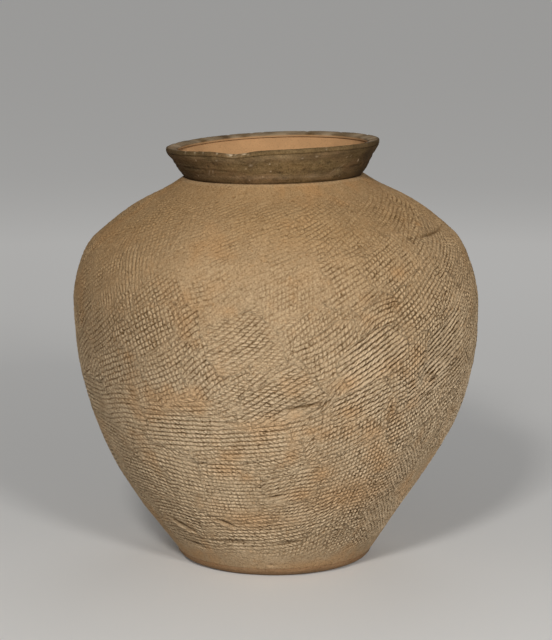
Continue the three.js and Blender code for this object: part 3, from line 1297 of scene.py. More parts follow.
@dataclass(frozen=True)
class FiredClay:
    """Finish of low-fired clay: its shades, its grain and how it takes the printed lattice."""

    name: str
    low: ClayTones
    high: ClayTones
    inside: Color
    change: Span = (0.2, 0.36)
    # Soot colour, also used for painted shade and painted shadow
    soot_and_shade: Color = (0.12, 0.062, 0.018)
    # Colour of worn and chipped spots, also used for painted highlights
    bare: Color = (0.66, 0.51, 0.34)
    roughness: float = 0.86
    grain_roughness: float = 0.16
    streaked: bool = False
    bump: float = 0.0009
    bump_strength: float = 0.9
    # How dark the grooves are painted: partly grime, partly painted shade
    dirt_and_shade: float = 0.9
    # How pale the bead tops are painted: partly wear, partly a painted highlight
    wear: float = 0.8
    wear_and_highlight_height: float = 0.55
    row_edge: float = 3.8
    bead_edge: float = 2.8
    old_share: float = 0.33
    smoked: float = 0.0
    shine: float = 0.14

    def make(self) -> bpy.types.Material:
        """Builds the finish.

        Returns:
            The material.
        """
        material = bpy.data.materials.new(self.name)
        material.use_nodes = True
        shop = Nodes(material.node_tree)
        shader = shop.tree.nodes["Principled BSDF"]
        grain = shop.noise(Fineness.GRAIN)
        pressed = self.pressed(shop)
        shop.link(self.color(shop, grain, pressed), shader.inputs["Base Color"])
        height = shop.math("SUBTRACT", shop.scaled(grain, 0.75), pressed)
        if self.streaked:
            height = shop.math("ADD", height, shop.scaled(shop.streaks(), 0.8))
        bump = shop.add("ShaderNodeBump")
        bump.inputs["Strength"].default_value = self.bump_strength
        bump.inputs["Distance"].default_value = self.bump
        shop.link(height, bump.inputs["Height"])
        shop.link(bump.outputs["Normal"], shader.inputs["Normal"])
        smoothest = self.roughness - self.grain_roughness / 2
        rough = shop.math("MULTIPLY_ADD", grain, self.grain_roughness, smoothest)
        shop.link(rough, shader.inputs["Roughness"])
        shader.inputs["Specular IOR Level"].default_value = self.shine
        return material

    def pressed(self, shop: Nodes) -> Socket:
        """Reads how deep the printed lattice is, broken up in patches as grime fills it.

        Args:
            shop: the tree to wire.

        Returns:
            The depth, 0 between grooves.
        """
        jolt = shop.math("MULTIPLY_ADD", shop.noise(Fineness.JOLT), 0.8, -0.4)
        slight = shop.scaled(jolt, 0.55)
        rows = shop.groove(shop.math("ADD", shop.layer(Layer.ROWS), slight), shop.layer(Layer.ROW_DEPTH),
                           self.row_edge)
        beads = shop.groove(shop.math("SUBTRACT", shop.layer(Layer.BEADS), jolt),
                            shop.layer(Layer.BEAD_DEPTH), self.bead_edge)
        pressed = shop.math("MAXIMUM", rows, shop.scaled(beads, 0.8))
        pressed = shop.math("MAXIMUM", pressed, shop.scaled(self.old_print(shop), self.old_share))
        patchy = shop.ramp(shop.noise(Fineness.DIRT_PATCHES), 0.34, 0.64)
        broken = shop.ramp(shop.noise(Fineness.BROKEN_DIRT), 0.36, 0.6)
        pressed = shop.math("MULTIPLY", pressed, shop.math("MULTIPLY_ADD", patchy, 0.45, 0.7))
        return shop.math("MULTIPLY", pressed, shop.math("MULTIPLY_ADD", broken, 0.45, 0.65))

    def old_print(self, shop: Nodes) -> Socket:
        """Reads what is left of the print that the last blow fell on.

        Args:
            shop: the tree to wire.

        Returns:
            Its depth.
        """
        rows = shop.groove(shop.layer(Layer.OLD_ROWS), shop.layer(Layer.OLD_ROW_DEPTH), self.row_edge)
        beads = shop.groove(shop.layer(Layer.OLD_BEADS), shop.layer(Layer.OLD_BEAD_DEPTH), self.bead_edge)
        return shop.math("MAXIMUM", rows, beads)

    def color(self, shop: Nodes, grain: Socket, pressed: Socket) -> Socket:
        """Colours the clay, from its own shades to the sooty grime on it, with painted shade and painted
        highlights.

        Args:
            shop: the tree to wire.
            grain: the fine grain.
            pressed: the depth of the printed lattice.

        Returns:
            The colour.
        """
        tones = self.tones(shop)
        color = self.clay_color(shop, grain, tones)
        color = self.printed_color(shop, color, pressed, tones)
        color = self.specks(shop, color, tones[3])
        # Dark marks, together with painted shade and painted shadow
        color = shop.lay((*self.soot_and_shade, 1), shop.layer(Layer.DARK), 0.7, color)
        # Worn and chipped spots, together with painted highlights
        color = shop.lay((*self.bare, 1), shop.layer(Layer.BARE), 0.9, color)
        if self.smoked:
            clouded = shop.ramp(shop.noise(Fineness.SMOKE), 0.48, 0.68)
            color = shop.lay((*self.soot_and_shade, 1), clouded, self.smoked, color)
        return shop.mix(shop.layer(Layer.INSIDE), color, self.inner_color(shop))

    def inner_color(self, shop: Nodes) -> Socket:
        """Colours the inner wall orange, in soft light and dark patches.

        Args:
            shop: the tree to wire.

        Returns:
            The colour.
        """
        patches = shop.ramp(shop.noise(Fineness.INNER_PATCHES), 0.38, 0.64)
        darker = tuple(0.9 * part for part in self.inside)
        color = shop.mix(patches, (*darker, 1), (*self.inside, 1))
        grit = shop.ramp(shop.noise(Fineness.INNER_GRIT), 0.55, 0.75)
        return shop.lay((*self.soot_and_shade, 1), grit, 0.3, color)

    def tones(self, shop: Nodes) -> list[Socket]:
        """Mixes the clay's shades, which change up the jar.

        Args:
            shop: the tree to wire.

        Returns:
            The base, shade, warm and pale colours.
        """
        apart = shop.add("ShaderNodeSeparateXYZ")
        shop.link(shop.place, apart.inputs[0])
        drift = shop.math("MULTIPLY_ADD", shop.noise(Fineness.DRIFT), 0.12, -0.06)
        rise = shop.ramp(shop.math("ADD", apart.outputs[2], drift), *self.change)
        pairs = ((self.low.base, self.high.base), (self.low.shade, self.high.shade),
                 (self.low.warm, self.high.warm), (self.low.pale, self.high.pale))
        base, shade, warm, pale = [shop.mix(rise, (*low, 1), (*high, 1)) for low, high in pairs]
        return [base, shade, warm, shop.lay(warm, shop.layer(Layer.WARM), 0.8, pale)]

    def clay_color(self, shop: Nodes, grain: Socket, tones: list[Socket]) -> Socket:
        """Mottles the clay as the fire did.

        Args:
            shop: the tree to wire.
            grain: the fine grain.
            tones: the clay's shades.

        Returns:
            The clay's own colour.
        """
        base, shade, warm, pale = tones
        mottle = shop.noise(Fineness.MOTTLE)
        color = shop.mix(shop.ramp(shop.noise(Fineness.FIRE_PATCHES), 0.35, 0.68), base, shade)
        color = shop.lay(pale, shop.ramp(mottle, 0.52, 0.74), 0.35, color)
        color = shop.lay(warm, shop.ramp(mottle, 0.46, 0.26), 0.3, color)
        color = shop.lay(warm, shop.layer(Layer.WARM), 0.85, color)
        color = shop.lay(pale, shop.layer(Layer.PALE), 0.6, color)
        return shop.lay(pale, shop.ramp(grain, 0.44, 0.3), 0.3, color)

    def printed_color(self, shop: Nodes, color: Socket, pressed: Socket, tones: list[Socket]) -> Socket:
        """Puts grime and painted shade in the printed grooves, and wear and painted highlights on the beads
        between them.

        Args:
            shop: the tree to wire.
            color: the clay's own colour.
            pressed: the depth of the printed lattice.
            tones: the clay's shades.

        Returns:
            The colour with dirt and wear.
        """
        depth = shop.math("MAXIMUM", shop.layer(Layer.BEAD_DEPTH), shop.layer(Layer.ROW_DEPTH))
        worn = shop.math("SUBTRACT", shop.scaled(depth, self.wear_and_highlight_height), pressed)
        worn = shop.math("MAXIMUM", worn, 0.0)
        # Bead tops paled: partly wear, partly a painted highlight
        color = shop.lay(tones[3], worn, self.wear / self.wear_and_highlight_height, color)
        flecks = shop.ramp(shop.noise(Fineness.FLECKS), 0.6, 0.72)
        color = shop.lay(tones[2], flecks, 0.5, color)
        # Grooves darkened: partly grime, partly painted shade
        return shop.lay((*self.soot_and_shade, 1), pressed, self.dirt_and_shade, color)

    def specks(self, shop: Nodes, color: Socket, pale: Socket) -> Socket:
        """Strews fine light and dark grit.

        Args:
            shop: the tree to wire.
            color: the colour below.
            pale: the colour of the light grit.

        Returns:
            The colour with grit in it.
        """
        grit, sand = shop.noise(Fineness.GRIT), shop.noise(Fineness.SAND)
        color = shop.lay((*self.soot_and_shade, 1), shop.ramp(grit, 0.52, 0.68), 0.5, color)
        color = shop.lay(pale, shop.ramp(grit, 0.47, 0.3), 0.45, color)
        color = shop.lay((*self.soot_and_shade, 1), shop.ramp(sand, 0.55, 0.68), 0.5, color)
        return shop.lay(pale, shop.ramp(sand, 0.42, 0.3), 0.42, color)


@dataclass
class Strip:
    """One strip of clay in the body's wall."""

    name: str
    index: int
    count: int
    sizes: JarSizes
    outline: Outline
    wall: PaddledWall
    settling: Settling
    finish: bpy.types.Material
    inner_steps: int = 192
    inner_rows: int = 4
    wall_slack: float = 0.4
    wall_edge: float = 3.0

    @property
    def low(self) -> float:
        """Distance up the wall where the strip starts."""
        return self.outline.length * self.index / self.count

    @property
    def high(self) -> float:
        """Distance up the wall where the strip ends."""
        return self.outline.length * (self.index + 1) / self.count

    def inner_face(self, low: float, high: float) -> Array:
        """Draws the inner face.

        Args:
            low: distance up the wall where it ends.
            high: distance up the wall where it starts.

        Returns:
            The points down it, from high to low.
        """
        along = np.linspace(high, low, self.inner_rows + 1)
        share = np.clip(along / self.outline.length, 0, 1)[:, None]
        thickness = self.sizes.wall_at_foot + (self.sizes.wall_at_neck - self.sizes.wall_at_foot) * share
        return self.outline.at(along) - self.outline.outwards(along) * thickness

    def outer_chain(self) -> Array:
        """Draws the outer face, with the neck's seat on the last strip.

        Returns:
            The points up it.
        """
        rows = self.wall.rows // self.count
        chain = self.outline.at(np.linspace(self.low, self.high, rows + 1))
        if self.index < self.count - 1:
            return chain
        sizes = self.sizes
        rebate = sizes.neck_base_radius + sizes.gap
        floor = sizes.seat_height - sizes.rebate_depth
        inner = sizes.neck_base_radius - sizes.neck_wall_base
        seat = [(rebate, sizes.seat_height), (rebate, floor), (inner, floor),
                (inner, floor - sizes.seat_thickness)]
        return np.vstack([chain, seat])

    def inner_chain(self) -> Array:
        """Draws the inner face between its scarf joints, with the heel on the first strip.

        Returns:
            The points down it.
        """
        sizes = self.sizes
        first, last = self.index == 0, self.index == self.count - 1
        low = 0.0 if first else self.low + sizes.scarf_height + sizes.gap / 2
        high = self.high - 2 * sizes.scarf_height if last else self.high + sizes.scarf_height - sizes.gap / 2
        face = self.inner_face(low, high)
        if not first:
            return face
        direction = self.outline.direction(np.array([0.0]))[0]
        rise = (sizes.slab_thickness + sizes.gap - face[-1][1]) / direction[1]
        return np.vstack([face, face[-1] + direction * rise])

    def build(self) -> bpy.types.Object:
        """Makes, beats and dresses the strip.

        Returns:
            The finished piece.
        """
        outer = Wheel.turned(self.name, self.outer_chain(), self.wall.columns)
        inner = Wheel.turned(self.name + "_inner", self.inner_chain(), self.inner_steps)
        ring = Wheel.joined(outer, inner)
        self.beat(ring)
        dress(ring, self.finish, self.name)
        return ring

    def beat(self, ring: bpy.types.Object) -> None:
        """Gives the strip its relief, its vertex layers, its map and its settled place.

        Args:
            ring: the true, round strip.
        """
        points = read_points(ring)
        radius = np.hypot(points[:, 0], points[:, 1])
        angle = np.arctan2(points[:, 1], points[:, 0])
        along = self.outline.along_at_height(points[:, 2])
        depth = self.outline.at(along)[:, 0] - radius
        on_wall = np.abs(depth) < self.wall_slack
        outwards = self.outline.outwards(along)
        relief = np.where(on_wall, self.wall.sample(self.wall.relief, angle, along), 0.0)
        lifted = radius + relief * outwards[:, 0]
        moved = np.stack([lifted * np.cos(angle), lifted * np.sin(angle),
                          points[:, 2] + relief * outwards[:, 1]], axis=-1)
        write_points(ring, self.settling.settle(moved))
        for layer, values in self.wall.layers.items():
            write_layer(ring, layer, np.where(on_wall, self.wall.sample(values, angle, along), 0.0))
        inside = ring.data.attributes[Layer.INSIDE.value]
        inside.data.foreach_set("value", (depth > self.wall_edge).astype(np.float32))
        share = (along - self.low) / (self.high - self.low)
        Unwrap().apply(ring, np.clip(share, 0, 1), on_wall, angle)


@dataclass(frozen=True)
class Skin:
    """Where the vertices of a turned piece lie before it settles."""

    angle: Array
    radius: Array
    height: Array


@dataclass
class TurnedPiece:
    """A ring or disc with a closed section: the slab, the neck or the lip."""

    name: str
    sizes: JarSizes
    settling: Settling
    finish: bpy.types.Material
    steps: int
    spacing: float
    seed: int
    long_span: float = 20.0
    coarse_spacing: float = 12.0
    map_lengths: int = 4
    map_chunks: int = 40

    def section(self) -> Array:
        """Returns the corners of the section; each kind of piece has its own."""
        raise NotImplementedError

    def relief(self, skin: Skin) -> Array:
        """Returns how far each vertex is pushed out along its normal; each kind has its own."""
        raise NotImplementedError

    def swell(self, skin: Skin) -> Array:
        """Returns how far each vertex is pushed straight away from the axis."""
        return np.zeros_like(skin.radius)

    def layers(self, skin: Skin) -> dict[Layer, Array]:
        """Returns the vertex layers of the piece; each kind has its own."""
        raise NotImplementedError

    def drawn(self) -> Array:
        """Adds points to the section so that none lie far apart.

        Returns:
            Rows of radius and height.
        """
        corners = self.section()
        points = [corners[0]]
        for start, end in zip(corners[:-1], corners[1:]):
            span = math.dist(start, end)
            count = max(1, round(span / (self.coarse_spacing if span > self.long_span else self.spacing)))
            points.extend(start + (end - start) * step / count for step in range(1, count + 1))
        return np.array(points)

    def build(self) -> bpy.types.Object:
        """Makes and dresses the piece.

        Returns:
            The finished piece.
        """
        ring = Wheel.turned(self.name, self.drawn(), self.steps)
        points = read_points(ring)
        normals = np.empty(len(points) * 3)
        ring.data.vertices.foreach_get("normal", normals)
        skin = Skin(np.arctan2(points[:, 1], points[:, 0]), np.hypot(points[:, 0], points[:, 1]),
                    points[:, 2].copy())
        moved = points + normals.reshape(-1, 3) * self.relief(skin)[:, None]
        moved[:, :2] *= (1 + self.swell(skin) / np.maximum(skin.radius, 1.0))[:, None]
        write_points(ring, self.settling.settle(moved))
        for layer, values in self.layers(skin).items():
            write_layer(ring, layer, values)
        self.unwrap(ring, skin)
        dress(ring, self.finish, self.name)
        return ring

    def unwrap(self, ring: bpy.types.Object, skin: Skin) -> None:
        """Maps the piece by its place round the section.

        Args:
            ring: the piece.
            skin: where its vertices lay before it settled.
        """
        line = self.drawn()
        steps = np.concatenate([[0.0], np.cumsum(np.hypot(*np.diff(line, axis=0).T))])
        nearest = np.empty(len(skin.radius), int)
        for chunk in np.array_split(np.arange(len(nearest)), self.map_chunks):
            distance = (skin.radius[chunk, None] - line[None, :-1, 0]) ** 2
            distance += (skin.height[chunk, None] - line[None, :-1, 1]) ** 2
            nearest[chunk] = distance.argmin(axis=1)
        everywhere = np.ones(len(nearest), bool)
        flat = Unwrap(lengths=self.map_lengths, outer_share=1.0)
        flat.apply(ring, steps[nearest] / steps[-1], everywhere, skin.angle)


@dataclass
class BaseSlab(TurnedPiece):
    """The slab that the wall stands on, whose smooth edge shows."""

    flat_edge: float = 4.0

    def section(self) -> Array:
        """Draws the slab's section, from the axis out and back.

        Returns:
            Its corners.
        """
        rest, foot, thick = self.sizes.resting_radius, self.sizes.foot_radius, self.sizes.slab_thickness
        edge = foot - rest
        return np.array([
            (0.0, 0.0), (rest - self.flat_edge, 0.0), (rest, 0.0), (rest + edge * 0.5, thick * 0.24),
            (rest + edge * 0.85, thick * 0.58), (foot, thick), (foot - self.flat_edge, thick), (0.0, thick),
        ])

    def relief(self, skin: Skin) -> Array:
        """Roughens the slab's edge and leaves its flat faces true.

        Args:
            skin: where the vertices lie.

        Returns:
            How far each vertex is pushed out along its normal.
        """
        clouds = Clouds(self.seed, skin.angle, skin.height)
        rough = 0.35 * clouds.layer(46, 5.0) + 0.16 * clouds.layer(240, 2.0)
        thick = self.sizes.slab_thickness
        free = eased(skin.height, 0.3, 2.5) * (1 - eased(skin.height, thick - 1.5, thick))
        return rough * free * (skin.radius > self.sizes.resting_radius)

    def layers(self, skin: Skin) -> dict[Layer, Array]:
        """Tints a slab that is warm on its edge and dark in small pits.

        Args:
            skin: where the vertices lie.

        Returns:
            The vertex layers.
        """
        clouds = Clouds(self.seed + 1, skin.angle, skin.height)
        return {Layer.WARM: 0.55 + 0.45 * clouds.layer(22, 9.0),
                Layer.PALE: np.clip(clouds.layer(60, 5.0) - 0.3, 0, 1),
                Layer.DARK: np.clip(clouds.layer(300, 1.6) - 0.72, 0, 1) * 2}


@dataclass
class NeckCollar(TurnedPiece):
    """The flaring neck, wiped smooth and dark outside, orange inside."""

    curve_points: int = 30
    corner_gap: float = 5.0
    step_height: float = 13.0
    joint_width: float = 2.2
    smear: float = 2.5
    marks: tuple[Mark, ...] = (
        *marks_of(MarkKind.PIT, (-142, 400, 1.7, 1.3), (-138, 399, 1.1, 0.9), (-129, 402, 1.3, 1.0),
                  (-86, 395, 1.6, 1.1), (-72, 397, 1.8, 1.0, 0.0, 20), (-57, 402, 3.0, 1.0, 0.0, 4)),
        *marks_of(MarkKind.GRIT, (-102, 404, 1.5, 1.0), (-74, 408, 1.2, 0.8), (-66, 409, 1.5, 0.9),
                  (-121, 409, 1.1, 0.8)),
        *marks_of(MarkKind.SCRATCH, (-130, 395, 3.4, 0.55, 0.0, 52), (-127, 396, 2.6, 0.5, 0.0, 60),
                  (-111, 392, 2.4, 0.5, 0.0, -48), (-52, 394, 5.0, 0.5, 0.0, 38),
                  (-47, 397, 4.0, 0.5, 0.0, 40)),
    )
    strewn_pits: int = 60
    strewn_grits: int = 24

    def section(self) -> Array:
        """Draws the neck's closed section, up the outside and down the inside.

        Returns:
            Its corners.
        """
        sizes = self.sizes
        outline = sizes.neck_outline()
        along = np.linspace(0, outline.length, self.curve_points)
        share = (along / outline.length)[:, None]
        thickness = sizes.neck_wall_base + (sizes.neck_wall_top - sizes.neck_wall_base) * share
        outer = outline.at(along)
        inner = (outer - outline.outwards(along) * thickness)[::-1]
        top = outer[-1]
        foot = sizes.seat_height - sizes.rebate_depth + sizes.gap
        inside = sizes.neck_base_radius - sizes.neck_wall_base
        crest = (top[0] - sizes.neck_wall_top / 2, top[1] + sizes.neck_ridge)
        corner = (top[0] - sizes.neck_wall_top, top[1])
        below = [point for point in inner if foot + self.corner_gap < point[1] < corner[1] - 1]
        return np.vstack([[(sizes.neck_base_radius, foot)], outer, [crest, corner], below,
                          [(inside, foot), (sizes.neck_base_radius, foot)]])

    def inside(self, skin: Skin) -> Array:
        """Tells the inner face from the outer one.

        Args:
            skin: where the vertices lie.

        Returns:
            1 on the inner face and 0 on the outer one.
        """
        outline = self.sizes.neck_outline()
        face = outline.at(outline.along_at_height(skin.height))[:, 0]
        return (skin.radius < face - 1.5).astype(float)

    def level(self, skin: Skin) -> Array:
        """Returns each vertex's height above the foot of the neck."""
        return skin.height - self.sizes.seat_height + 3

    def swell(self, skin: Skin) -> Array:
        """Returns the clay smeared up under the lip, on the outside."""
        top = self.sizes.neck_top_height
        return self.smear * eased(skin.height, top - 10, top - 0.5) * (1 - self.inside(skin))

    def spots(self, kind: MarkKind, skin: Skin, count: int = 0) -> Array:
        """Spreads the marks of one kind over the neck.

        Args:
            kind: the kind of mark.
            skin: where the vertices lie.
            count: how many more of the kind to strew at random.

        Returns:
            1 in the middle of each mark and 0 away from them all.
        """
        draws = np.random.default_rng(self.seed + len(kind.value))
        low, high = self.sizes.seat_height + 4, self.sizes.neck_top_height - 4
        strewn = [Mark(kind, draws.uniform(-180, 180), draws.uniform(low, high), draws.uniform(0.5, 1.0),
                       draws.uniform(0.5, 0.8)) for _ in range(count)]
        total = np.zeros_like(skin.angle)
        for mark in [*(mark for mark in self.marks if mark.kind is kind), *strewn]:
            total = np.maximum(total, mark.spread(skin.angle, skin.height, self.sizes.neck_base_radius + 6))
        return total

    @staticmethod
    def painted_side_shade(angle: Array) -> Array:
        """Returns the painted shade that makes the sides darker than the middle of the front."""
        turn = turn_between(angle, FRONT + 4)
        return 0.6 * eased(-turn, 0.4, 1.15) + 0.65 * eased(turn, 0.6, 1.1)

    def ridge(self, skin: Skin) -> Array:
        """Draws the faint step half way up, stronger at the sides than in front.

        Args:
            skin: where the vertices lie.

        Returns:
            1 at most along the step and 0 away from it.
        """
        middle = self.sizes.seat_height + self.step_height + 1.5 * np.sin(2 * skin.angle + 0.6)
        side = 0.55 + 0.45 * eased(np.abs(turn_between(skin.angle, FRONT - 2)), 0.3, 0.8)
        gaps = Clouds(self.seed + 4, skin.angle, skin.height - middle.min()).layer(70, 20)
        return side * np.clip(0.7 + gaps, 0, 1) * np.exp(-((skin.height - middle) / 1.2) ** 2)

    def relief(self, skin: Skin) -> Array:
        """Marks the neck with level wiping, a faint step, pits and grits, fading towards its edges.

        Args:
            skin: where the vertices lie.

        Returns:
            How far each vertex is pushed out along its normal.
        """
        clouds = Clouds(self.seed, skin.angle, self.level(skin))
        streaks = 0.22 * clouds.layer(9, 2.2) + 0.12 * clouds.layer(16, 1.1)
        waves = 0.45 * clouds.layer(26, 12) + 0.07 * clouds.layer(420, 1.5)
        waves += 0.3 * clouds.layer(60, 5) - 0.7 * self.ridge(skin)
        seat, top = self.sizes.seat_height, self.sizes.neck_top_height
        free = eased(skin.height, seat + 0.3, seat + 3) * (1 - eased(skin.height, top - 2.5, top - 0.6))
        pits = self.spots(MarkKind.PIT, skin, self.strewn_pits)
        grits = self.spots(MarkKind.GRIT, skin, self.strewn_grits)
        return (streaks + waves - 0.8 * pits + 0.4 * grits) * free

    def layers(self, skin: Skin) -> dict[Layer, Array]:
        """Tints the neck: warm and dark patches outside, with painted shade at its sides and a painted
        highlight on its front, and orange clay inside, with a painted shadow under the lip.

        Args:
            skin: where the vertices lie.

        Returns:
            The vertex layers.
        """
        clouds = Clouds(self.seed + 1, skin.angle, self.level(skin))
        seat, top, height = self.sizes.seat_height, self.sizes.neck_top_height, skin.height
        warm = 0.25 + 0.6 * clouds.layer(18, 9) + 0.4 * clouds.layer(60, 4)
        pale = np.clip(clouds.layer(34, 6) - 0.4, 0, 1)
        joint = seat + self.joint_width + 0.8 * clouds.layer(40, 90)
        dark = 0.6 * (1 - eased(height, joint - 1.4, joint)) + 0.6 * self.ridge(skin)
        # Painted shade at the sides, stronger low down
        dark += 0.04 + self.painted_side_shade(skin.angle) * (1.3 - 0.5 * eased(height, seat + 4, seat + 24))
        dark += 0.35 * np.clip(clouds.layer(44, 7) - 0.2, 0, 1)
        inside, outside = self.inside(skin), 1 - self.inside(skin)
        turn = np.abs(turn_between(skin.angle, FRONT))
        # Painted shadow on the inner wall just under the lip, strongest at the sides and left out at the
        # back
        shadow = inside * eased(height, top - 6, top - 2) * (0.25 + 0.75 * eased(turn, 0.4, 0.8))
        shadow = shadow * (1 - eased(turn, 1.6, 2.0))
        pits = self.spots(MarkKind.PIT, skin, self.strewn_pits)
        bare = np.maximum(0.75 * self.spots(MarkKind.GRIT, skin, self.strewn_grits),
                          0.35 * self.spots(MarkKind.SCRATCH, skin))
        # Two level bands on the front, paled as a painted highlight
        painted_front_highlight = np.exp(-((height - seat - 6.5) / 2.6) ** 2 - (turn / 0.75) ** 4)
        painted_front_highlight += 0.6 * np.exp(-((height - top + 3.5) / 3.5) ** 2 - (turn / 0.75) ** 4)
        bare = np.maximum(bare, np.clip(0.15 + 0.1 * clouds.layer(60, 5), 0, 1) * painted_front_highlight)
        return {Layer.WARM: np.clip(warm, 0, 1), Layer.PALE: pale, Layer.INSIDE: inside - 0.85 * shadow,
                Layer.DARK: np.clip(np.maximum(dark + 0.9 * pits, 0.0) * outside + shadow, 0, 1),
                Layer.BARE: bare * outside}


@dataclass(frozen=True)
class Chip:
    """A chip on the lip's edge: where it is, how far it spreads and how deep it is."""

    angle: float
    spread: float
    depth: float


@dataclass
class RimLip(TurnedPiece):
    """The lip laid over the neck, worn and chipped along its edge."""

    chips: tuple[Chip, ...] = (
        Chip(-104, 3.0, 0.7), Chip(-111, 4.6, 0.9), Chip(-120, 0.8, 0.5), Chip(-129, 0.7, 0.4),
        Chip(-135, 0.8, 0.5), Chip(-143, 1.0, 0.5), Chip(-61, 0.8, 0.4), Chip(24, 2.4, 0.6),
        Chip(48, 1.5, 0.5), Chip(70, 2.0, 0.5), Chip(96, 1.4, 0.5), Chip(102, 2.2, 0.6),
        Chip(116, 1.6, 0.5), Chip(160, 2.0, 0.5),
    )
    chip_reach: float = 2.4

    def section(self) -> Array:
        """Draws the lip's closed section, with the groove that fits over the neck.

        Returns:
            Its corners.
        """
        sizes = self.sizes
        outer, half = sizes.neck_top_radius, sizes.neck_wall_top / 2
        under = sizes.neck_top_height - sizes.gap + sizes.gap * math.hypot(1, sizes.neck_ridge / half)
        radius, edge = sizes.lip_radius, sizes.lip_edge
        inner, inner_top = radius - sizes.lip_width, sizes.lip_height - sizes.lip_fall
        bend = edge * 0.3
        return np.array([
            (radius - edge, under), (radius - bend, under + bend), (radius, under + edge),
            (radius, sizes.lip_height - edge), (radius - bend, sizes.lip_height - bend),
            (radius - edge, sizes.lip_height), (inner + edge, inner_top), (inner + bend, inner_top - bend),
            (inner, inner_top - edge), (inner, under), (outer - 2 * half, under),
            (outer - half, under + sizes.neck_ridge), (outer, under), (radius - edge, under),
        ])

    def above(self, height: Array) -> Array:
        """Returns 0 on the underside and 1 on the faces that show."""
        under = self.sizes.neck_top_height
        return eased(height, under + 0.4, under + 1.6)

    def level(self, skin: Skin) -> Array:
        """Returns each vertex's height above the neck's seat."""
        return skin.height - self.sizes.seat_height

    def chipped(self, skin: Skin) -> Array:
        """Breaks the chips out of the outer upper edge.

        Args:
            skin: where the vertices lie.

        Returns:
            The depth of the chips.
        """
        total = np.zeros_like(skin.angle)
        edge = np.hypot(skin.radius - self.sizes.lip_radius, skin.height - self.sizes.lip_height)
        for chip in self.chips:
            across = turn_between(skin.angle, chip.angle) * self.sizes.lip_radius / chip.spread
            total += chip.depth * np.exp(-across ** 2 - (edge / self.chip_reach) ** 2)
        return total * self.above(skin.height)

    def relief(self, skin: Skin) -> Array:
        """Wears and chips the edge, and leaves the underside true.

        Args:
            skin: where the vertices lie.

        Returns:
            How far each vertex is pushed out along its normal.
        """
        clouds = Clouds(self.seed, skin.angle, self.level(skin))
        wear = 0.14 * clouds.layer(40, 7) + 0.1 * clouds.layer(150, 3)
        wear += 0.07 * clouds.layer(520, 1.3)
        return wear * self.above(skin.height) - self.chipped(skin)

    def layers(self, skin: Skin) -> dict[Layer, Array]:
        """Tints the lip: brown outside like the neck, paler on top, with pale chips, and with painted shade
        under it, on the top of its front, at its sides and on its inner face.

        Args:
            skin: where the vertices lie.

        Returns:
            The vertex layers.
        """
        clouds = Clouds(self.seed + 1, skin.angle, self.level(skin))
        angle, radius, height = skin.angle, skin.radius, skin.height
        outer, top_height = self.sizes.lip_radius, self.sizes.lip_height
        inmost, inner_top = outer - self.sizes.lip_width, top_height - self.sizes.lip_fall
        chips = np.clip(self.chipped(skin) * 1.8, 0, 1)
        top = eased(radius, outer - 1.0, outer - 2.6)
        warm = np.clip(0.2 + 0.5 * top + 0.6 * clouds.layer(24, 8), 0, 1) * (1 - chips)
        front = np.exp(-(turn_between(angle, FRONT) / 0.9) ** 4)
        worn = top * np.clip(0.26 + 0.35 * clouds.layer(60, 6), 0, 1) * (1 - front)
        chips *= np.clip(0.5 + 1.6 * clouds.layer(260, 1.4), 0, 1)
        upper = eased(height, top_height - 2.6, top_height - 1.0)
        inner = eased(radius, inmost + 1.6, inmost + 0.6)
        back = eased(np.abs(turn_between(angle, FRONT)), 1.2, 1.7)
        # Where the lip's inner face shows at the back, it takes the inner wall's colour instead of the
        # painted shadow
        unshadowed_inner = inner * back * (1 - eased(height, inner_top - 1.9, inner_top - 1.0))
        # Painted shade under the lip and on the top and upper edge of its front
        dark = 0.2 * (1 - self.above(height)) + 0.06 + front * (0.25 * upper + 0.5 * top)
        # Painted shadow on the lip's inner face
        dark += 0.6 * inner * (1 - unshadowed_inner)
        dark += 0.5 * np.clip(clouds.layer(90, 5), 0, 1) * (0.3 + 0.7 * upper)
        # Painted shade at the sides, as on the neck
        dark += NeckCollar.painted_side_shade(angle) * (1 - top) * 0.8
        return {Layer.WARM: warm, Layer.DARK: np.clip(dark * (1 - chips), 0, 1),
                Layer.BARE: np.clip(worn + chips, 0, 1), Layer.INSIDE: 0.85 * unshadowed_inner}


def dress(piece: bpy.types.Object, finish: bpy.types.Material, node: str) -> None:
    """Shades a piece smooth but for its edges, gives it its finish and ties it to the frame.

    Args:
        piece: the finished mesh.
        finish: its material.
        node: the solid that it stands for.
    """
    Wheel.free_hand()
    piece.select_set(True)
    bpy.context.view_layer.objects.active = piece
    bpy.ops.object.shade_smooth_by_angle(angle=math.radians(58))
    piece.data.materials.clear()
    piece.data.materials.append(finish)
    piece.name = node + "_clay"
    piece.data.name = piece.name
    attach(piece, "root")
    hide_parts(node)
    LOG.info("%s: %d faces", piece.name, len(piece.data.polygons))
    Wheel.free_hand()


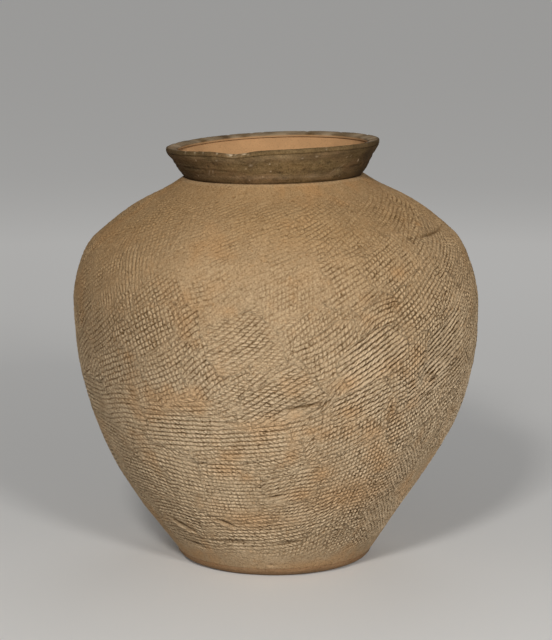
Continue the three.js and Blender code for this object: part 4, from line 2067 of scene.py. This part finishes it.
@dataclass(frozen=True)
class Studio:
    """Plain pale floor, soft lamps and the camera at the photograph's angle."""

    camera_back: float = 2.2
    camera_height: float = 0.610
    camera_pitch: float = 9.59
    focal_pixels: float = 2229.3
    image_height: float = 640.0
    sensor: float = 36.0
    room: float = 90.0
    floor_color: Color = (0.72, 0.71, 0.69)
    floor_glow: float = 0.35
    glow_zone: Span = (0.2, 2.4)
    lamp_target: tuple[float, float, float] = (0.0, 0.0, 0.22)
    warm_white: Color = (1.0, 0.99, 0.97)
    cool_white: Color = (0.97, 0.98, 1.0)
    room_color: Color = (0.8, 0.81, 0.83)
    room_light: float = 0.12

    def camera(self) -> None:
        """Places the camera."""
        Wheel.free_hand()
        bpy.ops.object.camera_add(location=(0, -self.camera_back, self.camera_height),
                                  rotation=(math.radians(90 - self.camera_pitch), 0, 0))
        camera = bpy.context.object
        camera.data.sensor_width = self.sensor
        camera.data.lens = self.focal_pixels * self.sensor / self.image_height
        camera.data.clip_end = self.room
        bpy.context.scene.camera = camera

    def floor(self) -> None:
        """Lays a wide floor that glows a little, for the camera alone, where the lamps fade."""
        Wheel.free_hand()
        bpy.ops.mesh.primitive_plane_add(size=self.room, location=(0, 0, 0))
        ground = bpy.context.object
        ground.name = "studio_floor"
        material = bpy.data.materials.new("pale_floor")
        material.use_nodes = True
        shader = material.node_tree.nodes["Principled BSDF"]
        shader.inputs["Base Color"].default_value = (*self.floor_color, 1)
        shader.inputs["Roughness"].default_value = 0.9
        shader.inputs["Emission Color"].default_value = (*self.floor_color, 1)
        shop = Nodes(material.node_tree)
        seen = shop.add("ShaderNodeLightPath").outputs["Is Camera Ray"]
        away = shop.add("ShaderNodeVectorMath")
        away.operation = "LENGTH"
        shop.link(shop.place, away.inputs[0])
        glow = shop.math("MULTIPLY_ADD", shop.ramp(away.outputs["Value"], *self.glow_zone), 0.75, 0.25)
        shop.link(shop.math("MULTIPLY", shop.scaled(glow, self.floor_glow), seen),
                  shader.inputs["Emission Strength"])
        ground.data.materials.append(material)

    def lamp(self, name: str, place: tuple[float, float, float], size: float, power: float,
             color: Color) -> None:
        """Hangs one soft lamp, turned to the jar.

        Args:
            name: the lamp's name.
            place: where it hangs, in metres.
            size: its width.
            power: its strength in watts.
            color: its colour.
        """
        Wheel.free_hand()
        bpy.ops.object.light_add(type="AREA", location=place)
        lamp = bpy.context.object
        lamp.name = name
        lamp.data.size = size
        lamp.data.energy = power
        lamp.data.color = color
        target = np.array(self.lamp_target) - np.array(place)
        level = math.hypot(target[0], target[1])
        lamp.rotation_euler = (math.atan2(level, -target[2]), 0, math.atan2(-target[0], target[1]))

    def lights(self) -> None:
        """Hangs the lamps and sets the world."""
        self.lamp("key_lamp", (-0.5, -2.3, 1.76), 0.36, 33.5, self.warm_white)
        self.lamp("front_lamp", (0.86, -2.41, 1.34), 0.42, 28.5, self.warm_white)
        self.lamp("back_lamp", (0.4, 1.9, 1.9), 1.2, 6.0, self.cool_white)
        world = bpy.data.worlds.new("soft_room")
        bpy.context.scene.world = world
        world.use_nodes = True
        air = world.node_tree.nodes["Background"]
        air.inputs["Color"].default_value = (*self.room_color, 1)
        air.inputs["Strength"].default_value = self.room_light

    def set_up(self) -> None:
        """Makes the whole studio."""
        self.camera()
        self.floor()
        self.lights()
        bpy.context.scene.view_settings.view_transform = "Standard"


@dataclass
class Jar:
    """The whole jar, piece by piece."""

    sizes: JarSizes = field(default_factory=JarSizes)
    columns: int = 1440
    rows_per_strip: int = 60
    strip_names: tuple[str, ...] = (
        "foot_band", "lower_wall_band_1", "lower_wall_band_2", "lower_wall_band_3", "belly_band_1",
        "belly_band_2", "shoulder_band_1", "shoulder_band_2", "shoulder_band_3",
    )

    buff: ClayTones = ClayTones((0.57, 0.412, 0.25), (0.48, 0.348, 0.21), (0.66, 0.385, 0.18),
                                (0.8, 0.62, 0.41))
    tan: ClayTones = ClayTones((0.45, 0.274, 0.126), (0.37, 0.23, 0.108), (0.51, 0.28, 0.115),
                               (0.62, 0.42, 0.22))
    slab_tones: ClayTones = ClayTones((0.31, 0.2, 0.112), (0.26, 0.17, 0.098), (0.39, 0.222, 0.108),
                                      (0.42, 0.31, 0.19))
    neck_tones: ClayTones = ClayTones((0.225, 0.14, 0.056), (0.16, 0.104, 0.042), (0.25, 0.145, 0.068),
                                      (0.34, 0.235, 0.12))
    lip_tones: ClayTones = ClayTones((0.225, 0.14, 0.056), (0.16, 0.104, 0.042), (0.27, 0.16, 0.074),
                                     (0.34, 0.24, 0.125))
    orange: Color = (0.58, 0.33, 0.155)
    # Soot colour of the neck and lip, also used for their painted shade and painted shadow
    smoke_and_shade: Color = (0.032, 0.019, 0.009)

    def wall_finish(self, name: str) -> FiredClay:
        """Returns the finish of the beaten wall, which turns from buff to tan on its way up."""
        return FiredClay(name, self.buff, self.tan, self.orange)

    def slab_finish(self) -> FiredClay:
        """Returns the finish of the smooth slab."""
        return FiredClay("smooth_orange_clay", self.slab_tones, self.slab_tones, self.orange)

    def neck_finish(self) -> FiredClay:
        """Returns the finish of the dark, wiped neck."""
        return FiredClay("wiped_dark_clay", self.neck_tones, self.neck_tones, self.orange,
                         soot_and_shade=self.smoke_and_shade, roughness=0.78, streaked=True, smoked=0.5)

    def lip_finish(self) -> FiredClay:
        """Returns the finish of the worn lip."""
        return FiredClay("worn_brown_clay", self.lip_tones, self.lip_tones, self.orange,
                         soot_and_shade=self.smoke_and_shade, roughness=0.78, smoked=0.4)

    def build(self) -> list[bpy.types.Object]:
        """Makes every piece, from the slab up.

        Returns:
            The finished pieces.
        """
        outline = self.sizes.body_outline()
        wall = PaddledWall(self.sizes, outline, self.columns, self.rows_per_strip * len(self.strip_names))
        settling = Settling(self.sizes)
        body = self.wall_finish("paddled_buff_clay").make()
        shoulder = self.wall_finish("paddled_tan_clay").make()
        slab, neck, lip = self.slab_finish().make(), self.neck_finish().make(), self.lip_finish().make()
        pieces = [BaseSlab("base_slab", self.sizes, settling, slab, 720, 1.2, 31).build()]
        for index, name in enumerate(self.strip_names):
            finish = shoulder if name.startswith("shoulder") else body
            strip = Strip(name, index, len(self.strip_names), self.sizes, outline, wall, settling, finish)
            pieces.append(strip.build())
        pieces.append(NeckCollar("neck_collar", self.sizes, settling, neck, 960, 1.0, 41).build())
        pieces.append(RimLip("rim_lip", self.sizes, settling, lip, 1080, 0.8, 51).build())
        return pieces


def main() -> None:
    """Builds the studio and the jar."""
    logging.basicConfig(level=logging.INFO, format="%(name)s: %(message)s")
    Wheel.free_hand()
    Studio().set_up()
    pieces = Jar().build()
    LOG.info("%d pieces, %d faces", len(pieces), sum(len(piece.data.polygons) for piece in pieces))


if __name__ == "__main__":
    main()
